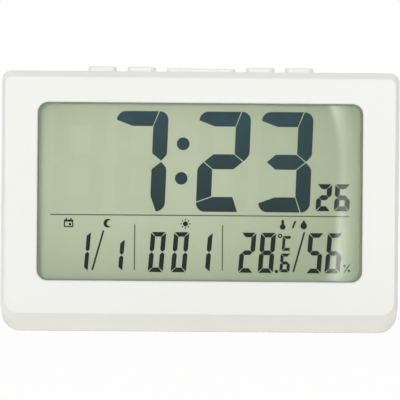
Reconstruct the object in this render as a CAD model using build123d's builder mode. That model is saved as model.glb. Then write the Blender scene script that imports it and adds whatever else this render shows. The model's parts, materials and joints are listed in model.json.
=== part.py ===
from build123d import *
import math
import os

# Desk and wall clock with a large liquid crystal display. Sizes in millimetres, +Z up.
# The face looks towards -Y. Origin: middle of the width and depth, at the flat base.

# Casing
BODY_WIDTH = 198.0
BODY_HEIGHT = 129.9
WALL = 2.2
CORNER_R_TOP = 4.7
CORNER_R_BOTTOM = 9.5
FACE_R_TOP = 3.0
FACE_R_BOTTOM = 7.2
FACE_R_STEP = 1.0  # the hollow's corners behind the face are this much tighter
REAR_EDGE_R = 3.5
FACE_EDGE_R = 0.4
FACET_RUN = 3.2  # depth of the facets at the sides and top
SIDE_RISE = 2.0
TOP_RISE = 3.2
CHIN_RUN = 8.0  # depth of the chin
CHIN_RISE = 9.2
WALL_EASE = 1.0  # the inside of a facet ends this much deeper than its outside
LIP_DEPTH = 1.8  # tongue of the rear cover inside the bezel
LIP_WALL = 1.2
LIP_GAP = 0.1
LIP_ROOT = 2.5
RIB_WALL = 1.2
STIFFENER_INSET = 37.0
STIFFENER_X = BODY_WIDTH / 2 - STIFFENER_INSET
STIFFENER_HEIGHT = 3.0

# Window
SIDE_BORDER = 18.1
TOP_BORDER = 15.65
BOTTOM_BORDER = 25.55
WINDOW_WIDTH = BODY_WIDTH - 2 * SIDE_BORDER
WINDOW_HEIGHT = BODY_HEIGHT - TOP_BORDER - BOTTOM_BORDER
WINDOW_Z = BOTTOM_BORDER + WINDOW_HEIGHT / 2
WINDOW_R = 5.4
WINDOW_EDGE_R = 0.4

# The stack behind the window, as distances behind the face
GASKET_THICK = 0.3
GASKET_SHOWS = 0.6  # width of gasket seen inside the window
LENS_LAP_SIDE = 5.1  # how far the lens reaches behind the borders
LENS_LAP_TOP = 4.75
LENS_LAP_BOTTOM = 6.55
LENS_WIDTH = WINDOW_WIDTH + 2 * LENS_LAP_SIDE
LENS_HEIGHT = WINDOW_HEIGHT + LENS_LAP_TOP + LENS_LAP_BOTTOM
LENS_Z = WINDOW_Z + (LENS_LAP_TOP - LENS_LAP_BOTTOM) / 2
LENS_THICK = 1.5
LENS_R = 1.5
RIM_STEP = 0.1  # the holder's rim stands this far behind the lens
GASKET_DEPTH = WALL
LENS_DEPTH = GASKET_DEPTH + GASKET_THICK
HOLDER_DEPTH = LENS_DEPTH + LENS_THICK + RIM_STEP
POLARISER_THICK = 0.2
POLARISER_GAP = 0.2
POLARISER_DEPTH = HOLDER_DEPTH + POLARISER_GAP
POLARISER_MARGIN = 0.8
GLASS_THICK = 1.1
GLASS_MARGIN_SIDE = 2.0  # from the lens's edge to the glass's
GLASS_MARGIN_TOP = 2.8
GLASS_MARGIN_BOTTOM = 2.6
GLASS_WIDTH = LENS_WIDTH - 2 * GLASS_MARGIN_SIDE
GLASS_HEIGHT = LENS_HEIGHT - GLASS_MARGIN_TOP - GLASS_MARGIN_BOTTOM
GLASS_Z = LENS_Z + (GLASS_MARGIN_BOTTOM - GLASS_MARGIN_TOP) / 2
GLASS_LEDGE = 3.2  # strip of the front glass that carries the contacts
FRONT_GLASS_DEPTH = POLARISER_DEPTH + POLARISER_THICK
REAR_GLASS_DEPTH = FRONT_GLASS_DEPTH + GLASS_THICK
REAR_POLARISER_DEPTH = REAR_GLASS_DEPTH + GLASS_THICK
GUIDE_DEPTH = REAR_POLARISER_DEPTH + POLARISER_THICK
GUIDE_THICK = 2.5
GUIDE_STEP = 0.4  # the guide starts this far above the rear glass's lower edge
GUIDE_CHAMFER = 0.3
REFLECTOR_DEPTH = GUIDE_DEPTH + GUIDE_THICK
REFLECTOR_THICK = 0.2
REFLECTOR_GAP = 0.1
HOLDER_FLOOR_DEPTH = REFLECTOR_DEPTH + REFLECTOR_THICK + REFLECTOR_GAP
HOLDER_FLOOR = 1.3
BOARD_DEPTH = HOLDER_FLOOR_DEPTH + HOLDER_FLOOR
HOLDER_GAP = 0.3  # round the glass
RIB_GAP = 0.2  # round the lens and the holder
STRIP_MARGIN = 8.0
STRIP_WIDTH = GLASS_WIDTH - 2 * STRIP_MARGIN
STRIP_HEIGHT = 2.0
STRIP_RISE = 1.5
STRIP_Z = GLASS_Z - GLASS_HEIGHT / 2 + STRIP_RISE

# Boards
BOARD_MARGIN = 1.0  # from the holder's edge to the main board's
BOARD_WIDTH = LENS_WIDTH - 2 * BOARD_MARGIN
BOARD_BOTTOM = 11.4
BOARD_HEIGHT = 43.6
BOARD_TOP = BOARD_BOTTOM + BOARD_HEIGHT
BOARD_THICK = 1.6
BOARD_R = 1.5
BOARD_BACK = BOARD_DEPTH + BOARD_THICK
BOARD_SCREW_INSET = 25.0
BOARD_SCREW_X = BOARD_WIDTH / 2 - BOARD_SCREW_INSET
BOARD_SCREW_RISE = 2.8
BOARD_SCREW_Z = BOARD_BOTTOM + BOARD_SCREW_RISE
BOARD_SCREWS = [(x, BOARD_SCREW_Z) for x in (-BOARD_SCREW_X, 0.0, BOARD_SCREW_X)]

# Depth of the casing, from the main board and the cells behind it
CELL_R = 5.25
CELL_FLOAT = 0.1
CELL_HEADROOM = 0.3
BAY_SPACE = 1.3  # between the main board and the battery compartment
BAY_WALL = 1.2
DOOR_THICK = 2.0
BAY_FLOOR = BOARD_BACK + BAY_SPACE + BAY_WALL
CELL_DEPTH = BAY_FLOOR + CELL_FLOAT + CELL_R
DOOR_DEPTH = CELL_DEPTH + CELL_R + CELL_HEADROOM
BODY_DEPTH = DOOR_DEPTH + DOOR_THICK
BACK_INSIDE = BODY_DEPTH - WALL
REAR_DEPTH = 8.5  # from the parting line to the back
BEZEL_DEPTH = BODY_DEPTH - REAR_DEPTH

# Backlight at the left end of the light guide
LAMP_BOARD_THICK = 1.0
LAMP_BOARD_DROP = 16.0  # its lower end lies this far below the main board's top
LAMP_BOARD_GAP = 0.2
LAMP_TAB_HEIGHT = 8.0
LAMP_TAB_REACH = 1.2
LAMP_LENGTH = 3.5
LAMP_THICK = 1.6
LAMP_COUNT = 3
LAMP_PITCH = 20.0
LAMP_RISE = 16.0  # the first lamp above the lamp board's lower end
LAMP_END = 5.0  # the lamp board goes on this far above the last lamp
LAMP_EDGE = 0.15  # the lamps are this much slimmer than the guide at each side
LAMP_BOARD_BOTTOM = BOARD_TOP - LAMP_BOARD_DROP
LAMP_ROW = [LAMP_BOARD_BOTTOM + LAMP_RISE + index * LAMP_PITCH for index in range(LAMP_COUNT)]
LAMP_BOARD_TOP = LAMP_ROW[-1] + LAMP_END
GUIDE_GAP = 0.2
TAB_SLOT_GAP = 0.15

# Parts on the main board
CHIP_AT = (-22.0, BOARD_BOTTOM + 22.6)
CHIP_R = 8.0
CHIP_HEIGHT = 1.7
CRYSTAL_AT = (-2.0, BOARD_BOTTOM + 28.6)
CRYSTAL_R = 1.0
CRYSTAL_LENGTH = 6.2
CRYSTAL_CHAMFER = 0.25
CAPACITOR_ROW = BOARD_BOTTOM + 18.6
CAPACITORS_AT = [(14.0, CAPACITOR_ROW), (24.0, CAPACITOR_ROW)]
CAPACITOR_R = 2.5
CAPACITOR_HEIGHT = 6.0
CAPACITOR_CHAMFER = 0.35
PORT_INSET = 18.0  # the buzzer and the sensor lie this far in from the board's ends
PORT_RISE = 24.6
BUZZER_AT = (PORT_INSET - BOARD_WIDTH / 2, BOARD_BOTTOM + PORT_RISE)
BUZZER_R = 6.0
BUZZER_HEIGHT = 6.5
BUZZER_CHAMFER = 0.5
BUZZER_PORT_R = 1.1
SENSOR_AT = (BOARD_WIDTH / 2 - PORT_INSET, BOARD_BOTTOM + PORT_RISE)
SENSOR_WIDTH = 8.0
SENSOR_LENGTH = 11.0
SENSOR_HEIGHT = 4.2
SENSOR_SLOT = (0.8, 2.4)
SENSOR_SLOT_PITCH = (1.8, 3.4)
SENSOR_SLOT_COUNT = (4, 3)
SENSOR_SLOT_DEPTH = 1.0

# Keys on the top
KEY_SMALL = 14.2
KEY_WIDE = 34.5
KEY_GAP = 5.45
KEY_BREADTH = 8.0
KEY_R = 3.2
KEY_EDGE_R = 0.9
KEY_SETBACK = 7.3  # from the parting line to the middle of the keys
KEY_DEPTH = BEZEL_DEPTH - KEY_SETBACK
KEY_RISE = 2.8
KEY_WIDE_RISE = 2.2
KEY_CLEARANCE = 0.2
KEY_FLANGE = 0.8
KEY_FLANGE_THICK = 1.1
KEY_HEADROOM = 0.1
KEY_TRAVEL = 0.5
KEY_INNER_X = KEY_WIDE / 2 + KEY_GAP + KEY_SMALL / 2
KEY_OUTER_X = KEY_INNER_X + KEY_SMALL + KEY_GAP
KEYS = {
    "outer_left": (-KEY_OUTER_X, KEY_SMALL, KEY_RISE),
    "inner_left": (-KEY_INNER_X, KEY_SMALL, KEY_RISE),
    "wide": (0.0, KEY_WIDE, KEY_WIDE_RISE),
    "inner_right": (KEY_INNER_X, KEY_SMALL, KEY_RISE),
    "outer_right": (KEY_OUTER_X, KEY_SMALL, KEY_RISE),
}
KEY_FOOT = BODY_HEIGHT - WALL - KEY_HEADROOM - KEY_FLANGE_THICK
SWITCH_WIDTH = 6.0
SWITCH_HEIGHT = 3.8
SWITCH_BREADTH = 6.0
SWITCH_ROOM = 1.4  # between a key and its switch
SWITCH_TOP = KEY_FOOT - SWITCH_ROOM
SWITCH_FOOT = 1.0
SWITCH_FOOT_INSET = 0.4
SWITCH_FOOT_DROP = 0.8
PLUNGER_R = 1.6
PLUNGER_GAP = 0.08
PLUNGER_LENGTH = 2.6
PLUNGER_SPARE = 0.1
KEY_BOARD_DEPTH = KEY_DEPTH + SWITCH_BREADTH / 2 + SWITCH_FOOT
KEY_BOARD_THICK = 1.2
KEY_BOARD_BACK = KEY_BOARD_DEPTH + KEY_BOARD_THICK
KEY_BOARD_MARGIN = 9.55
KEY_BOARD_WIDTH = 2 * (KEY_OUTER_X + KEY_BOARD_MARGIN)
KEY_BOARD_HEIGHT = 13.1
KEY_BOARD_OVER = 0.5  # the board stands this far above its switches
KEY_BOARD_TOP = SWITCH_TOP + KEY_BOARD_OVER
KEY_BOARD_BOTTOM = KEY_BOARD_TOP - KEY_BOARD_HEIGHT
KEY_BOARD_R = 1.0
KEY_BOARD_SCREW_X = (KEY_INNER_X + KEY_OUTER_X) / 2
KEY_BOARD_SCREW_DROP = 3.6
KEY_BOARD_SCREW_Z = KEY_BOARD_TOP - KEY_BOARD_SCREW_DROP
KEY_BOARD_SCREWS = [(x, KEY_BOARD_SCREW_Z) for x in (-KEY_BOARD_SCREW_X, KEY_BOARD_SCREW_X)]

# Screws
CASE_SCREW_INSET = 9.0
CASE_SCREW_LOW = 14.2
CASE_SCREW_DROP = 8.4  # the upper screws below the top
CASE_SCREW_X = BODY_WIDTH / 2 - CASE_SCREW_INSET
CASE_SCREWS = [
    (side * CASE_SCREW_X, z)
    for z in (CASE_SCREW_LOW, BODY_HEIGHT - CASE_SCREW_DROP)
    for side in (-1, 1)
]
CASE_BOSS_R = 3.25
CASE_POST_R = 3.8
CASE_SCREW_R = 1.3
CASE_SCREW_LENGTH = 12.0
CASE_HEAD_R = 2.4
CASE_HEAD_HEIGHT = 1.8
CASE_SEAT_WALL = 2.0
CASE_SEAT = BEZEL_DEPTH + CASE_SEAT_WALL
SMALL_SCREW_R = 1.05
SMALL_SCREW_LENGTH = 6.5
SMALL_HEAD_R = 2.0
SMALL_HEAD_HEIGHT = 1.4
SMALL_BOSS_R = 2.5
SCREW_GAP = 0.05  # between a screw and its pilot hole
SCREW_CLEARANCE = 0.2
PILOT_SPARE = 1.0
EAR_THICK = 1.8
EAR_R = 3.4
EAR_REACH = 5.0
EAR_ROOT = 1.0
EAR_SPREAD = 50.0  # between an upper and a lower ear
EAR_SCREWS = [
    (side * (LENS_WIDTH / 2 + EAR_REACH), LENS_Z + rise)
    for rise in (-EAR_SPREAD / 2, EAR_SPREAD / 2)
    for side in (-1, 1)
]
EAR_CLEARANCE = 0.4  # between the rib round the lens and the ears
RIB_END = BOARD_DEPTH - EAR_THICK - EAR_CLEARANCE

# Cells and their contacts
CELL_LENGTH = 44.5
CELL_NUB_R = 1.9
CELL_NUB = 0.8
CELL_CHAMFER = 0.4
CELL_SPACE = 0.5  # between two cells
CELL_PITCH = 2 * CELL_R + CELL_SPACE
PLATE_THICK = 0.4
PLATE_WIDTH = 9.0
PLATE_DROP = 0.6  # the plates end this far under the door
BUMP_R = 2.2
BUMP_HEIGHT = 0.6
LEAF_ROOM = 5.3  # between a plate and a cell's negative end
LEAF_WIDTH = 5.0
LEAF_PAD = 3.0  # flat of a leaf spring that presses on the cell
LEAF_SPAN = 4.2  # from the middle of the pad to the root and to the free end
LEAF_LIFT = 0.8  # the free end stands this far off its plate
LEAF_BEND_R = 0.8
TAB_WIDTH = 3.0
TAB_REACH = 1.2
TAB_GAP = 0.1

# Battery compartment in the rear cover
BAY_WIDTH = CELL_LENGTH + 2 * PLATE_THICK + BUMP_HEIGHT + LEAF_ROOM
BAY_SIDE_ROOM = 0.65
BAY_HEIGHT = 2 * (CELL_PITCH + CELL_R + BAY_SIDE_ROOM)
TAB_END = BAY_FLOOR - BAY_WALL - TAB_REACH
DOOR_LAP_SIDE = 4.15  # the door reaches this far past the compartment
DOOR_LAP_END = 2.55
DOOR_WIDTH = BAY_WIDTH + 2 * DOOR_LAP_SIDE
DOOR_HEIGHT = BAY_HEIGHT + 2 * DOOR_LAP_END
DOOR_CORNER_R = 1.5
DOOR_GAP = 0.25
DOOR_FRAME = 2.0
DOOR_FRAME_WALL = 1.2
PLATE_TOP = DOOR_DEPTH - PLATE_DROP
TONGUE_X = 15.0
TONGUE_WIDTH = 8.0
TONGUE_THICK = 1.2
TONGUE_REACH = 1.8
TONGUE_STEP = 0.4
TONGUE_DEPTH = DOOR_DEPTH - TONGUE_STEP - TONGUE_THICK
TONGUE_SWING = 0.8
TONGUE_POCKET = TONGUE_DEPTH - TONGUE_SWING
TONGUE_ROOM = 0.5
DOOR_FRAME_DEPTH = TONGUE_POCKET - DOOR_FRAME_WALL
LATCH_WIDTH = 11.0
LATCH_LENGTH = 8.0
LATCH_SLIT = 0.9
GRIP_COUNT = 3
GRIP_PITCH = 2.0
GRIP_HEIGHT = 0.9
GRIP_MARGIN = 1.5
GRIP_DEPTH = 0.5

# Keyhole hanger near the top of the rear cover
KEYHOLE_DROP = 22.4
KEYHOLE_Z = BODY_HEIGHT - KEYHOLE_DROP
KEYHOLE_R = 4.2
KEYHOLE_SLOT_R = 2.1
KEYHOLE_RISE = 7.0
KEYHOLE_BOX_WIDTH = 15.0
KEYHOLE_BOX_HEIGHT = 17.0
KEYHOLE_BOX_ROOM = 3.5
KEYHOLE_BOX_WALL = 1.5
KEYHOLE_BOX_DEPTH = BACK_INSIDE - KEYHOLE_BOX_ROOM - KEYHOLE_BOX_WALL
KEYHOLE_MID = KEYHOLE_Z + KEYHOLE_RISE / 2

# Folding stand in the rear cover
STAND_WIDTH = 54.4
STAND_PIVOT_INSET = 2.0
STAND_PIVOT_DEPTH = BODY_DEPTH - STAND_PIVOT_INSET
STAND_BOTTOM = 1.2
STAND_BARREL_R = 1.8
STAND_THICK = 2.6
STAND_RIB = 0.8
STAND_RIM_INSET = 1.0
STAND_RIM_WALL = 1.5
STAND_FOOT_R = 3.0
STAND_EDGE_R = 1.0
STAND_GAP = 0.4
STAND_ROOM = 4.0
STAND_FLOOR = BODY_DEPTH - STAND_ROOM
STAND_FLOOR_THICK = 1.6
STAND_CHEEK = 2.8
PIN_R = 1.3
PIN_LENGTH = 1.8
PIN_GAP = 0.06
PIN_END_GAP = 0.2

# Rows of the rear cover from the top down: keyhole, battery door, stand
DOOR_SPACE = 2.0  # between the keyhole's box and the door's frame
STAND_SPACE = 1.0  # between the door's frame and the stand's recess
KEYHOLE_BOX_LOW = KEYHOLE_MID - KEYHOLE_BOX_HEIGHT / 2
DOOR_OPEN_TOP = KEYHOLE_BOX_LOW - DOOR_SPACE - DOOR_FRAME - TONGUE_ROOM - TONGUE_REACH
BAY_Z = DOOR_OPEN_TOP - DOOR_GAP - DOOR_HEIGHT / 2
DOOR_OPEN_BOTTOM = BAY_Z - DOOR_HEIGHT / 2 - DOOR_GAP
STAND_TOP = DOOR_OPEN_BOTTOM - DOOR_FRAME - STAND_SPACE - STAND_FLOOR_THICK
STAND_PIVOT_Z = STAND_TOP - STAND_GAP - STAND_BARREL_R

# Vents and sound holes in the rear cover
VENT_COUNT = 6
VENT_PITCH = 3.6
VENT_WIDTH = 18.0
VENT_HEIGHT = 1.6
SOUND_HOLE_R = 0.9
SOUND_RING_R = 3.2
SOUND_COUNT = 6

# Leads, the flat cable and the hooks beside it
LEAD_R = 0.5
LEAD_OUT = 7.0  # straight run out of a solder tab
LEAD_SPREAD = 8.0  # further run to the side
LEAD_SAG = 0.8
LEAD_LIFT = 3.2
LEAD_BEND_R = 3.0
LEAD_LAND_DROP = 8.0  # where the leads meet the main board, below its top
LEAD_LAND_R = 1.4
LEAD_X = BAY_WIDTH / 2 + LEAD_OUT + LEAD_SPREAD
RIBBON_WIDTH = 12.0
RIBBON_SPACE = 2.9
RIBBON_X = -(LEAD_X + LEAD_R + RIBBON_SPACE + RIBBON_WIDTH / 2)
RIBBON_THICK = 0.6
RIBBON_LAP = 8.0  # length that lies on the main board
RIBBON_END_LAP = 5.5  # length that lies on the key board
RIBBON_RUN = 8.0  # straight run past each board
RIBBON_BEND_R = 4.0
HOOK_SPACE = 6.0
HOOK_WIDTH = 8.0
HOOK_WALL = 1.5
HOOK_REACH = 1.2
HOOK_GAP = 0.15
HOOK_X = -RIBBON_X + RIBBON_WIDTH / 2 + HOOK_SPACE + HOOK_WIDTH / 2


def y_at(depth):
    """Y of a point at a depth behind the face."""
    return depth - BODY_DEPTH / 2


def at_depth(depth):
    """Plane parallel to the face, seen from the front, at a depth behind it."""
    return Plane.XZ.offset(-y_at(depth))


def casing_face(side=0.0, top=0.0, bottom=0.0, r_top=CORNER_R_TOP, r_bottom=CORNER_R_BOTTOM):
    """The casing's outline, drawn in by a distance at each edge."""
    with BuildSketch(Plane.XY, mode=Mode.PRIVATE) as outline:
        with Locations((0, (BODY_HEIGHT - top + bottom) / 2)):
            Rectangle(BODY_WIDTH - 2 * side, BODY_HEIGHT - top - bottom)
        fillet(outline.vertices().group_by(Axis.Y)[-1], radius=r_top)
        fillet(outline.vertices().group_by(Axis.Y)[0], radius=r_bottom)
    return outline.sketch


def inset_face(inset):
    """The casing's outline drawn in evenly."""
    return casing_face(inset, inset, inset, CORNER_R_TOP - inset, CORNER_R_BOTTOM - inset)


def wall_inset(depth, rise, run):
    """How far in the inside of a wall lies at a depth, behind a facet of that rise and run."""
    slant = WALL * math.hypot(rise, run) / run
    return max(WALL, rise * (1 - depth / run) + slant)


def plate(depth, thick, width, height, z, radius=0.0):
    """A flat rectangular layer of the display stack."""
    with BuildSketch(at_depth(depth)) as layer:
        with Locations((0, z)):
            if radius:
                RectangleRounded(width, height, radius)
            else:
                Rectangle(width, height)
    extrude(layer.sketch, amount=-thick)


def block(x_low, x_high, z_low, z_high, depth_low, depth_high, mode=Mode.ADD):
    """A rectangular block between limits in x, in z and in depth."""
    with BuildSketch(at_depth(depth_low)) as section:
        with Locations(((x_low + x_high) / 2, (z_low + z_high) / 2)):
            Rectangle(x_high - x_low, z_high - z_low)
    extrude(section.sketch, amount=-(depth_high - depth_low), mode=mode)


def discs(spots, radius, depth_low, depth_high, mode=Mode.ADD):
    """Round posts or holes that run front to back between two depths."""
    with BuildSketch(at_depth(depth_low)) as circles:
        with Locations(*spots):
            Circle(radius)
    extrude(circles.sketch, amount=-(depth_high - depth_low), mode=mode)


def bosses(spots, radius, end, screw_r, length, seat):
    """Screw bosses on the front wall; length is the screw's, seat the depth of its head."""
    discs(spots, radius, WALL, end)
    discs(spots, screw_r + SCREW_GAP, seat - length - PILOT_SPARE, end, Mode.SUBTRACT)


def screws(spots, seat, screw_r, length, head_r, head_height):
    """Screws driven in from behind, with their heads seated at one depth."""
    with BuildPart() as group:
        discs(spots, head_r, seat, seat + head_height)
        discs(spots, screw_r, seat - length, seat)
    return group


os.makedirs("parts", exist_ok=True)


def save(builder, label):
    """Name a finished piece and write it out."""
    builder.part.label = label
    export_step(builder.part, "parts/" + label + ".step")


# Bezel: the front half of the casing, with facets at the sides and top and a deep chin
with BuildPart() as bezel:
    chin_left = CHIN_RISE * (1 - FACET_RUN / CHIN_RUN)
    chin_r = FACE_R_BOTTOM + (CORNER_R_BOTTOM - FACE_R_BOTTOM) * FACET_RUN / CHIN_RUN
    with BuildSketch(at_depth(0)):
        add(casing_face(SIDE_RISE, TOP_RISE, CHIN_RISE, FACE_R_TOP, FACE_R_BOTTOM))
    with BuildSketch(at_depth(FACET_RUN)):
        add(casing_face(bottom=chin_left, r_bottom=chin_r))
    with BuildSketch(at_depth(CHIN_RUN)):
        add(casing_face())
    loft(ruled=True)
    with BuildSketch(at_depth(CHIN_RUN)):
        add(casing_face())
    extrude(amount=-(BEZEL_DEPTH - CHIN_RUN))
    front = bezel.faces().sort_by(Axis.Y)[0]
    fillet(front.edges(), radius=FACE_EDGE_R)

    # hollow inside, following the facets
    facet_end = FACET_RUN + WALL_EASE
    chin_end = CHIN_RUN + WALL_EASE
    for depth, r_top, r_bottom in (
        (WALL, FACE_R_TOP - FACE_R_STEP, FACE_R_BOTTOM - FACE_R_STEP),
        (facet_end, CORNER_R_TOP - WALL, FACE_R_BOTTOM - FACE_R_STEP),
        (chin_end, CORNER_R_TOP - WALL, CORNER_R_BOTTOM - WALL),
    ):
        with BuildSketch(at_depth(depth)):
            add(
                casing_face(
                    wall_inset(depth, SIDE_RISE, FACET_RUN),
                    wall_inset(depth, TOP_RISE, FACET_RUN),
                    wall_inset(depth, CHIN_RISE, CHIN_RUN),
                    r_top,
                    r_bottom,
                )
            )
    loft(ruled=True, mode=Mode.SUBTRACT)
    with BuildSketch(at_depth(chin_end)):
        add(inset_face(WALL))
    extrude(amount=-(BEZEL_DEPTH - chin_end), mode=Mode.SUBTRACT)

    # window, softened at its front edge
    with BuildSketch(at_depth(0)):
        with Locations((0, WINDOW_Z)):
            RectangleRounded(WINDOW_WIDTH, WINDOW_HEIGHT, WINDOW_R)
    extrude(amount=-WALL, mode=Mode.SUBTRACT)
    front = bezel.faces().sort_by(Axis.Y)[0]
    fillet(front.inner_wires()[0].edges(), radius=WINDOW_EDGE_R)

    # rib that locates the lens and the holder behind it
    with BuildSketch(at_depth(WALL)):
        with Locations((0, LENS_Z)):
            Rectangle(LENS_WIDTH + 2 * (RIB_GAP + RIB_WALL), LENS_HEIGHT + 2 * (RIB_GAP + RIB_WALL))
            Rectangle(LENS_WIDTH + 2 * RIB_GAP, LENS_HEIGHT + 2 * RIB_GAP, mode=Mode.SUBTRACT)
    extrude(amount=-(RIB_END - WALL))

    # screw bosses
    bosses(CASE_SCREWS, CASE_BOSS_R, BEZEL_DEPTH, CASE_SCREW_R, CASE_SCREW_LENGTH, CASE_SEAT)
    bosses(BOARD_SCREWS, SMALL_BOSS_R, BOARD_DEPTH, SMALL_SCREW_R, SMALL_SCREW_LENGTH, BOARD_BACK)
    bosses(
        KEY_BOARD_SCREWS,
        SMALL_BOSS_R,
        KEY_BOARD_DEPTH,
        SMALL_SCREW_R,
        SMALL_SCREW_LENGTH,
        KEY_BOARD_BACK,
    )
    bosses(
        EAR_SCREWS,
        SMALL_BOSS_R,
        BOARD_DEPTH - EAR_THICK,
        SMALL_SCREW_R,
        SMALL_SCREW_LENGTH,
        BOARD_DEPTH,
    )

    # slots for the keys in the top wall
    with BuildSketch(Plane.XY.offset(BODY_HEIGHT)):
        for x, width, rise in KEYS.values():
            with Locations((x, y_at(KEY_DEPTH))):
                RectangleRounded(
                    width + 2 * KEY_CLEARANCE,
                    KEY_BREADTH + 2 * KEY_CLEARANCE,
                    KEY_R + KEY_CLEARANCE,
                )
    extrude(amount=-WALL, mode=Mode.SUBTRACT)
save(bezel, "bezel")

# Foam gasket between the bezel and the lens
with BuildPart() as gasket:
    with BuildSketch(at_depth(GASKET_DEPTH)):
        with Locations((0, LENS_Z)):
            RectangleRounded(LENS_WIDTH, LENS_HEIGHT, LENS_R)
        with Locations((0, WINDOW_Z)):
            RectangleRounded(
                WINDOW_WIDTH - 2 * GASKET_SHOWS,
                WINDOW_HEIGHT - 2 * GASKET_SHOWS,
                WINDOW_R - GASKET_SHOWS,
                mode=Mode.SUBTRACT,
            )
    extrude(amount=-GASKET_THICK)
save(gasket, "lens_gasket")

with BuildPart() as lens:
    plate(LENS_DEPTH, LENS_THICK, LENS_WIDTH, LENS_HEIGHT, LENS_Z, LENS_R)
save(lens, "display_lens")

# Display cell: two glasses, the front one with a bare ledge below, and a polariser on each
glass_top = GLASS_Z + GLASS_HEIGHT / 2
rear_height = GLASS_HEIGHT - GLASS_LEDGE
rear_z = glass_top - rear_height / 2
film_width = GLASS_WIDTH - 2 * POLARISER_MARGIN
film_height = rear_height - 2 * POLARISER_MARGIN

with BuildPart() as front_polariser:
    plate(POLARISER_DEPTH, POLARISER_THICK, film_width, film_height, rear_z)
save(front_polariser, "front_polariser")

with BuildPart() as front_glass:
    plate(FRONT_GLASS_DEPTH, GLASS_THICK, GLASS_WIDTH, GLASS_HEIGHT, GLASS_Z)
save(front_glass, "lcd_front_glass")

with BuildPart() as rear_glass:
    plate(REAR_GLASS_DEPTH, GLASS_THICK, GLASS_WIDTH, rear_height, rear_z)
save(rear_glass, "lcd_rear_glass")

with BuildPart() as rear_polariser:
    plate(REAR_POLARISER_DEPTH, POLARISER_THICK, film_width, film_height, rear_z)
save(rear_polariser, "rear_polariser")

# Light guide, its white film behind, and the lamps at its left end
pocket_left = -(GLASS_WIDTH / 2 + HOLDER_GAP)
lamp_board_x = pocket_left + LAMP_BOARD_GAP
lamp_x = lamp_board_x + LAMP_BOARD_THICK
guide_left = lamp_x + LAMP_THICK + GUIDE_GAP
guide_right = GLASS_WIDTH / 2
guide_top = rear_z + rear_height / 2
guide_bottom = rear_z - rear_height / 2 + GUIDE_STEP

with BuildPart() as guide:
    block(guide_left, guide_right, guide_bottom, guide_top, GUIDE_DEPTH, GUIDE_DEPTH + GUIDE_THICK)
    chamfer(guide.edges().filter_by(Axis.Z).group_by(Axis.X)[0], length=GUIDE_CHAMFER)
save(guide, "light_guide")

with BuildPart() as reflector:
    block(
        guide_left,
        guide_right,
        guide_bottom,
        guide_top,
        REFLECTOR_DEPTH,
        REFLECTOR_DEPTH + REFLECTOR_THICK,
    )
save(reflector, "reflector_film")

# The lamps stand on a slim board whose tab is soldered through the main board
with BuildPart() as lamp_board:
    block(
        lamp_board_x,
        lamp_x,
        LAMP_BOARD_BOTTOM,
        LAMP_BOARD_TOP,
        GUIDE_DEPTH,
        GUIDE_DEPTH + GUIDE_THICK,
    )
    block(
        lamp_board_x,
        lamp_x,
        LAMP_BOARD_BOTTOM,
        LAMP_BOARD_BOTTOM + LAMP_TAB_HEIGHT,
        GUIDE_DEPTH + GUIDE_THICK,
        BOARD_BACK + LAMP_TAB_REACH,
    )
save(lamp_board, "backlight_board")

with BuildPart() as lamps:
    for z in LAMP_ROW:
        block(
            lamp_x,
            lamp_x + LAMP_THICK,
            z - LAMP_LENGTH / 2,
            z + LAMP_LENGTH / 2,
            GUIDE_DEPTH + LAMP_EDGE,
            GUIDE_DEPTH + GUIDE_THICK - LAMP_EDGE,
        )
save(lamps, "backlight_leds")

# Holder: a tray that presses the display against the lens and carries the main board
with BuildPart() as holder:
    plate(HOLDER_DEPTH, BOARD_DEPTH - HOLDER_DEPTH, LENS_WIDTH, LENS_HEIGHT, LENS_Z, LENS_R)
    for x, z in EAR_SCREWS:
        side = math.copysign(1, x)
        with BuildSketch(at_depth(BOARD_DEPTH - EAR_THICK)):
            with Locations((x, z)):
                Circle(EAR_R)
            with Locations((side * (abs(x) + LENS_WIDTH / 2) / 2, z)):
                Rectangle(abs(x) - LENS_WIDTH / 2 + EAR_ROOT, 2 * EAR_R)
        extrude(amount=-EAR_THICK)
    with BuildSketch(at_depth(HOLDER_DEPTH)):
        with Locations((0, GLASS_Z)):
            Rectangle(GLASS_WIDTH + 2 * HOLDER_GAP, GLASS_HEIGHT + 2 * HOLDER_GAP)
    extrude(amount=-(HOLDER_FLOOR_DEPTH - HOLDER_DEPTH), mode=Mode.SUBTRACT)
    discs(EAR_SCREWS, SMALL_SCREW_R + SCREW_CLEARANCE, HOLDER_DEPTH, BOARD_DEPTH, Mode.SUBTRACT)
    # slots for the contact strip and for the lamp board's tab
    block(
        -STRIP_WIDTH / 2 - RIB_GAP,
        STRIP_WIDTH / 2 + RIB_GAP,
        STRIP_Z - STRIP_HEIGHT / 2 - RIB_GAP,
        STRIP_Z + STRIP_HEIGHT / 2 + RIB_GAP,
        HOLDER_FLOOR_DEPTH,
        BOARD_DEPTH,
        Mode.SUBTRACT,
    )
    block(
        pocket_left,
        lamp_x + RIB_GAP,
        LAMP_BOARD_BOTTOM - RIB_GAP,
        LAMP_BOARD_BOTTOM + LAMP_TAB_HEIGHT + RIB_GAP,
        HOLDER_FLOOR_DEPTH,
        BOARD_DEPTH,
        Mode.SUBTRACT,
    )
    # hooks over the top edge of the main board
    for x in (-HOOK_X, HOOK_X):
        hook_low = BOARD_TOP + HOOK_GAP
        block(
            x - HOOK_WIDTH / 2,
            x + HOOK_WIDTH / 2,
            hook_low,
            hook_low + HOOK_WALL,
            BOARD_DEPTH,
            BOARD_BACK + HOOK_REACH,
        )
        block(
            x - HOOK_WIDTH / 2,
            x + HOOK_WIDTH / 2,
            BOARD_TOP - HOOK_REACH,
            hook_low,
            BOARD_BACK,
            BOARD_BACK + HOOK_REACH,
        )
save(holder, "lcd_holder")

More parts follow.
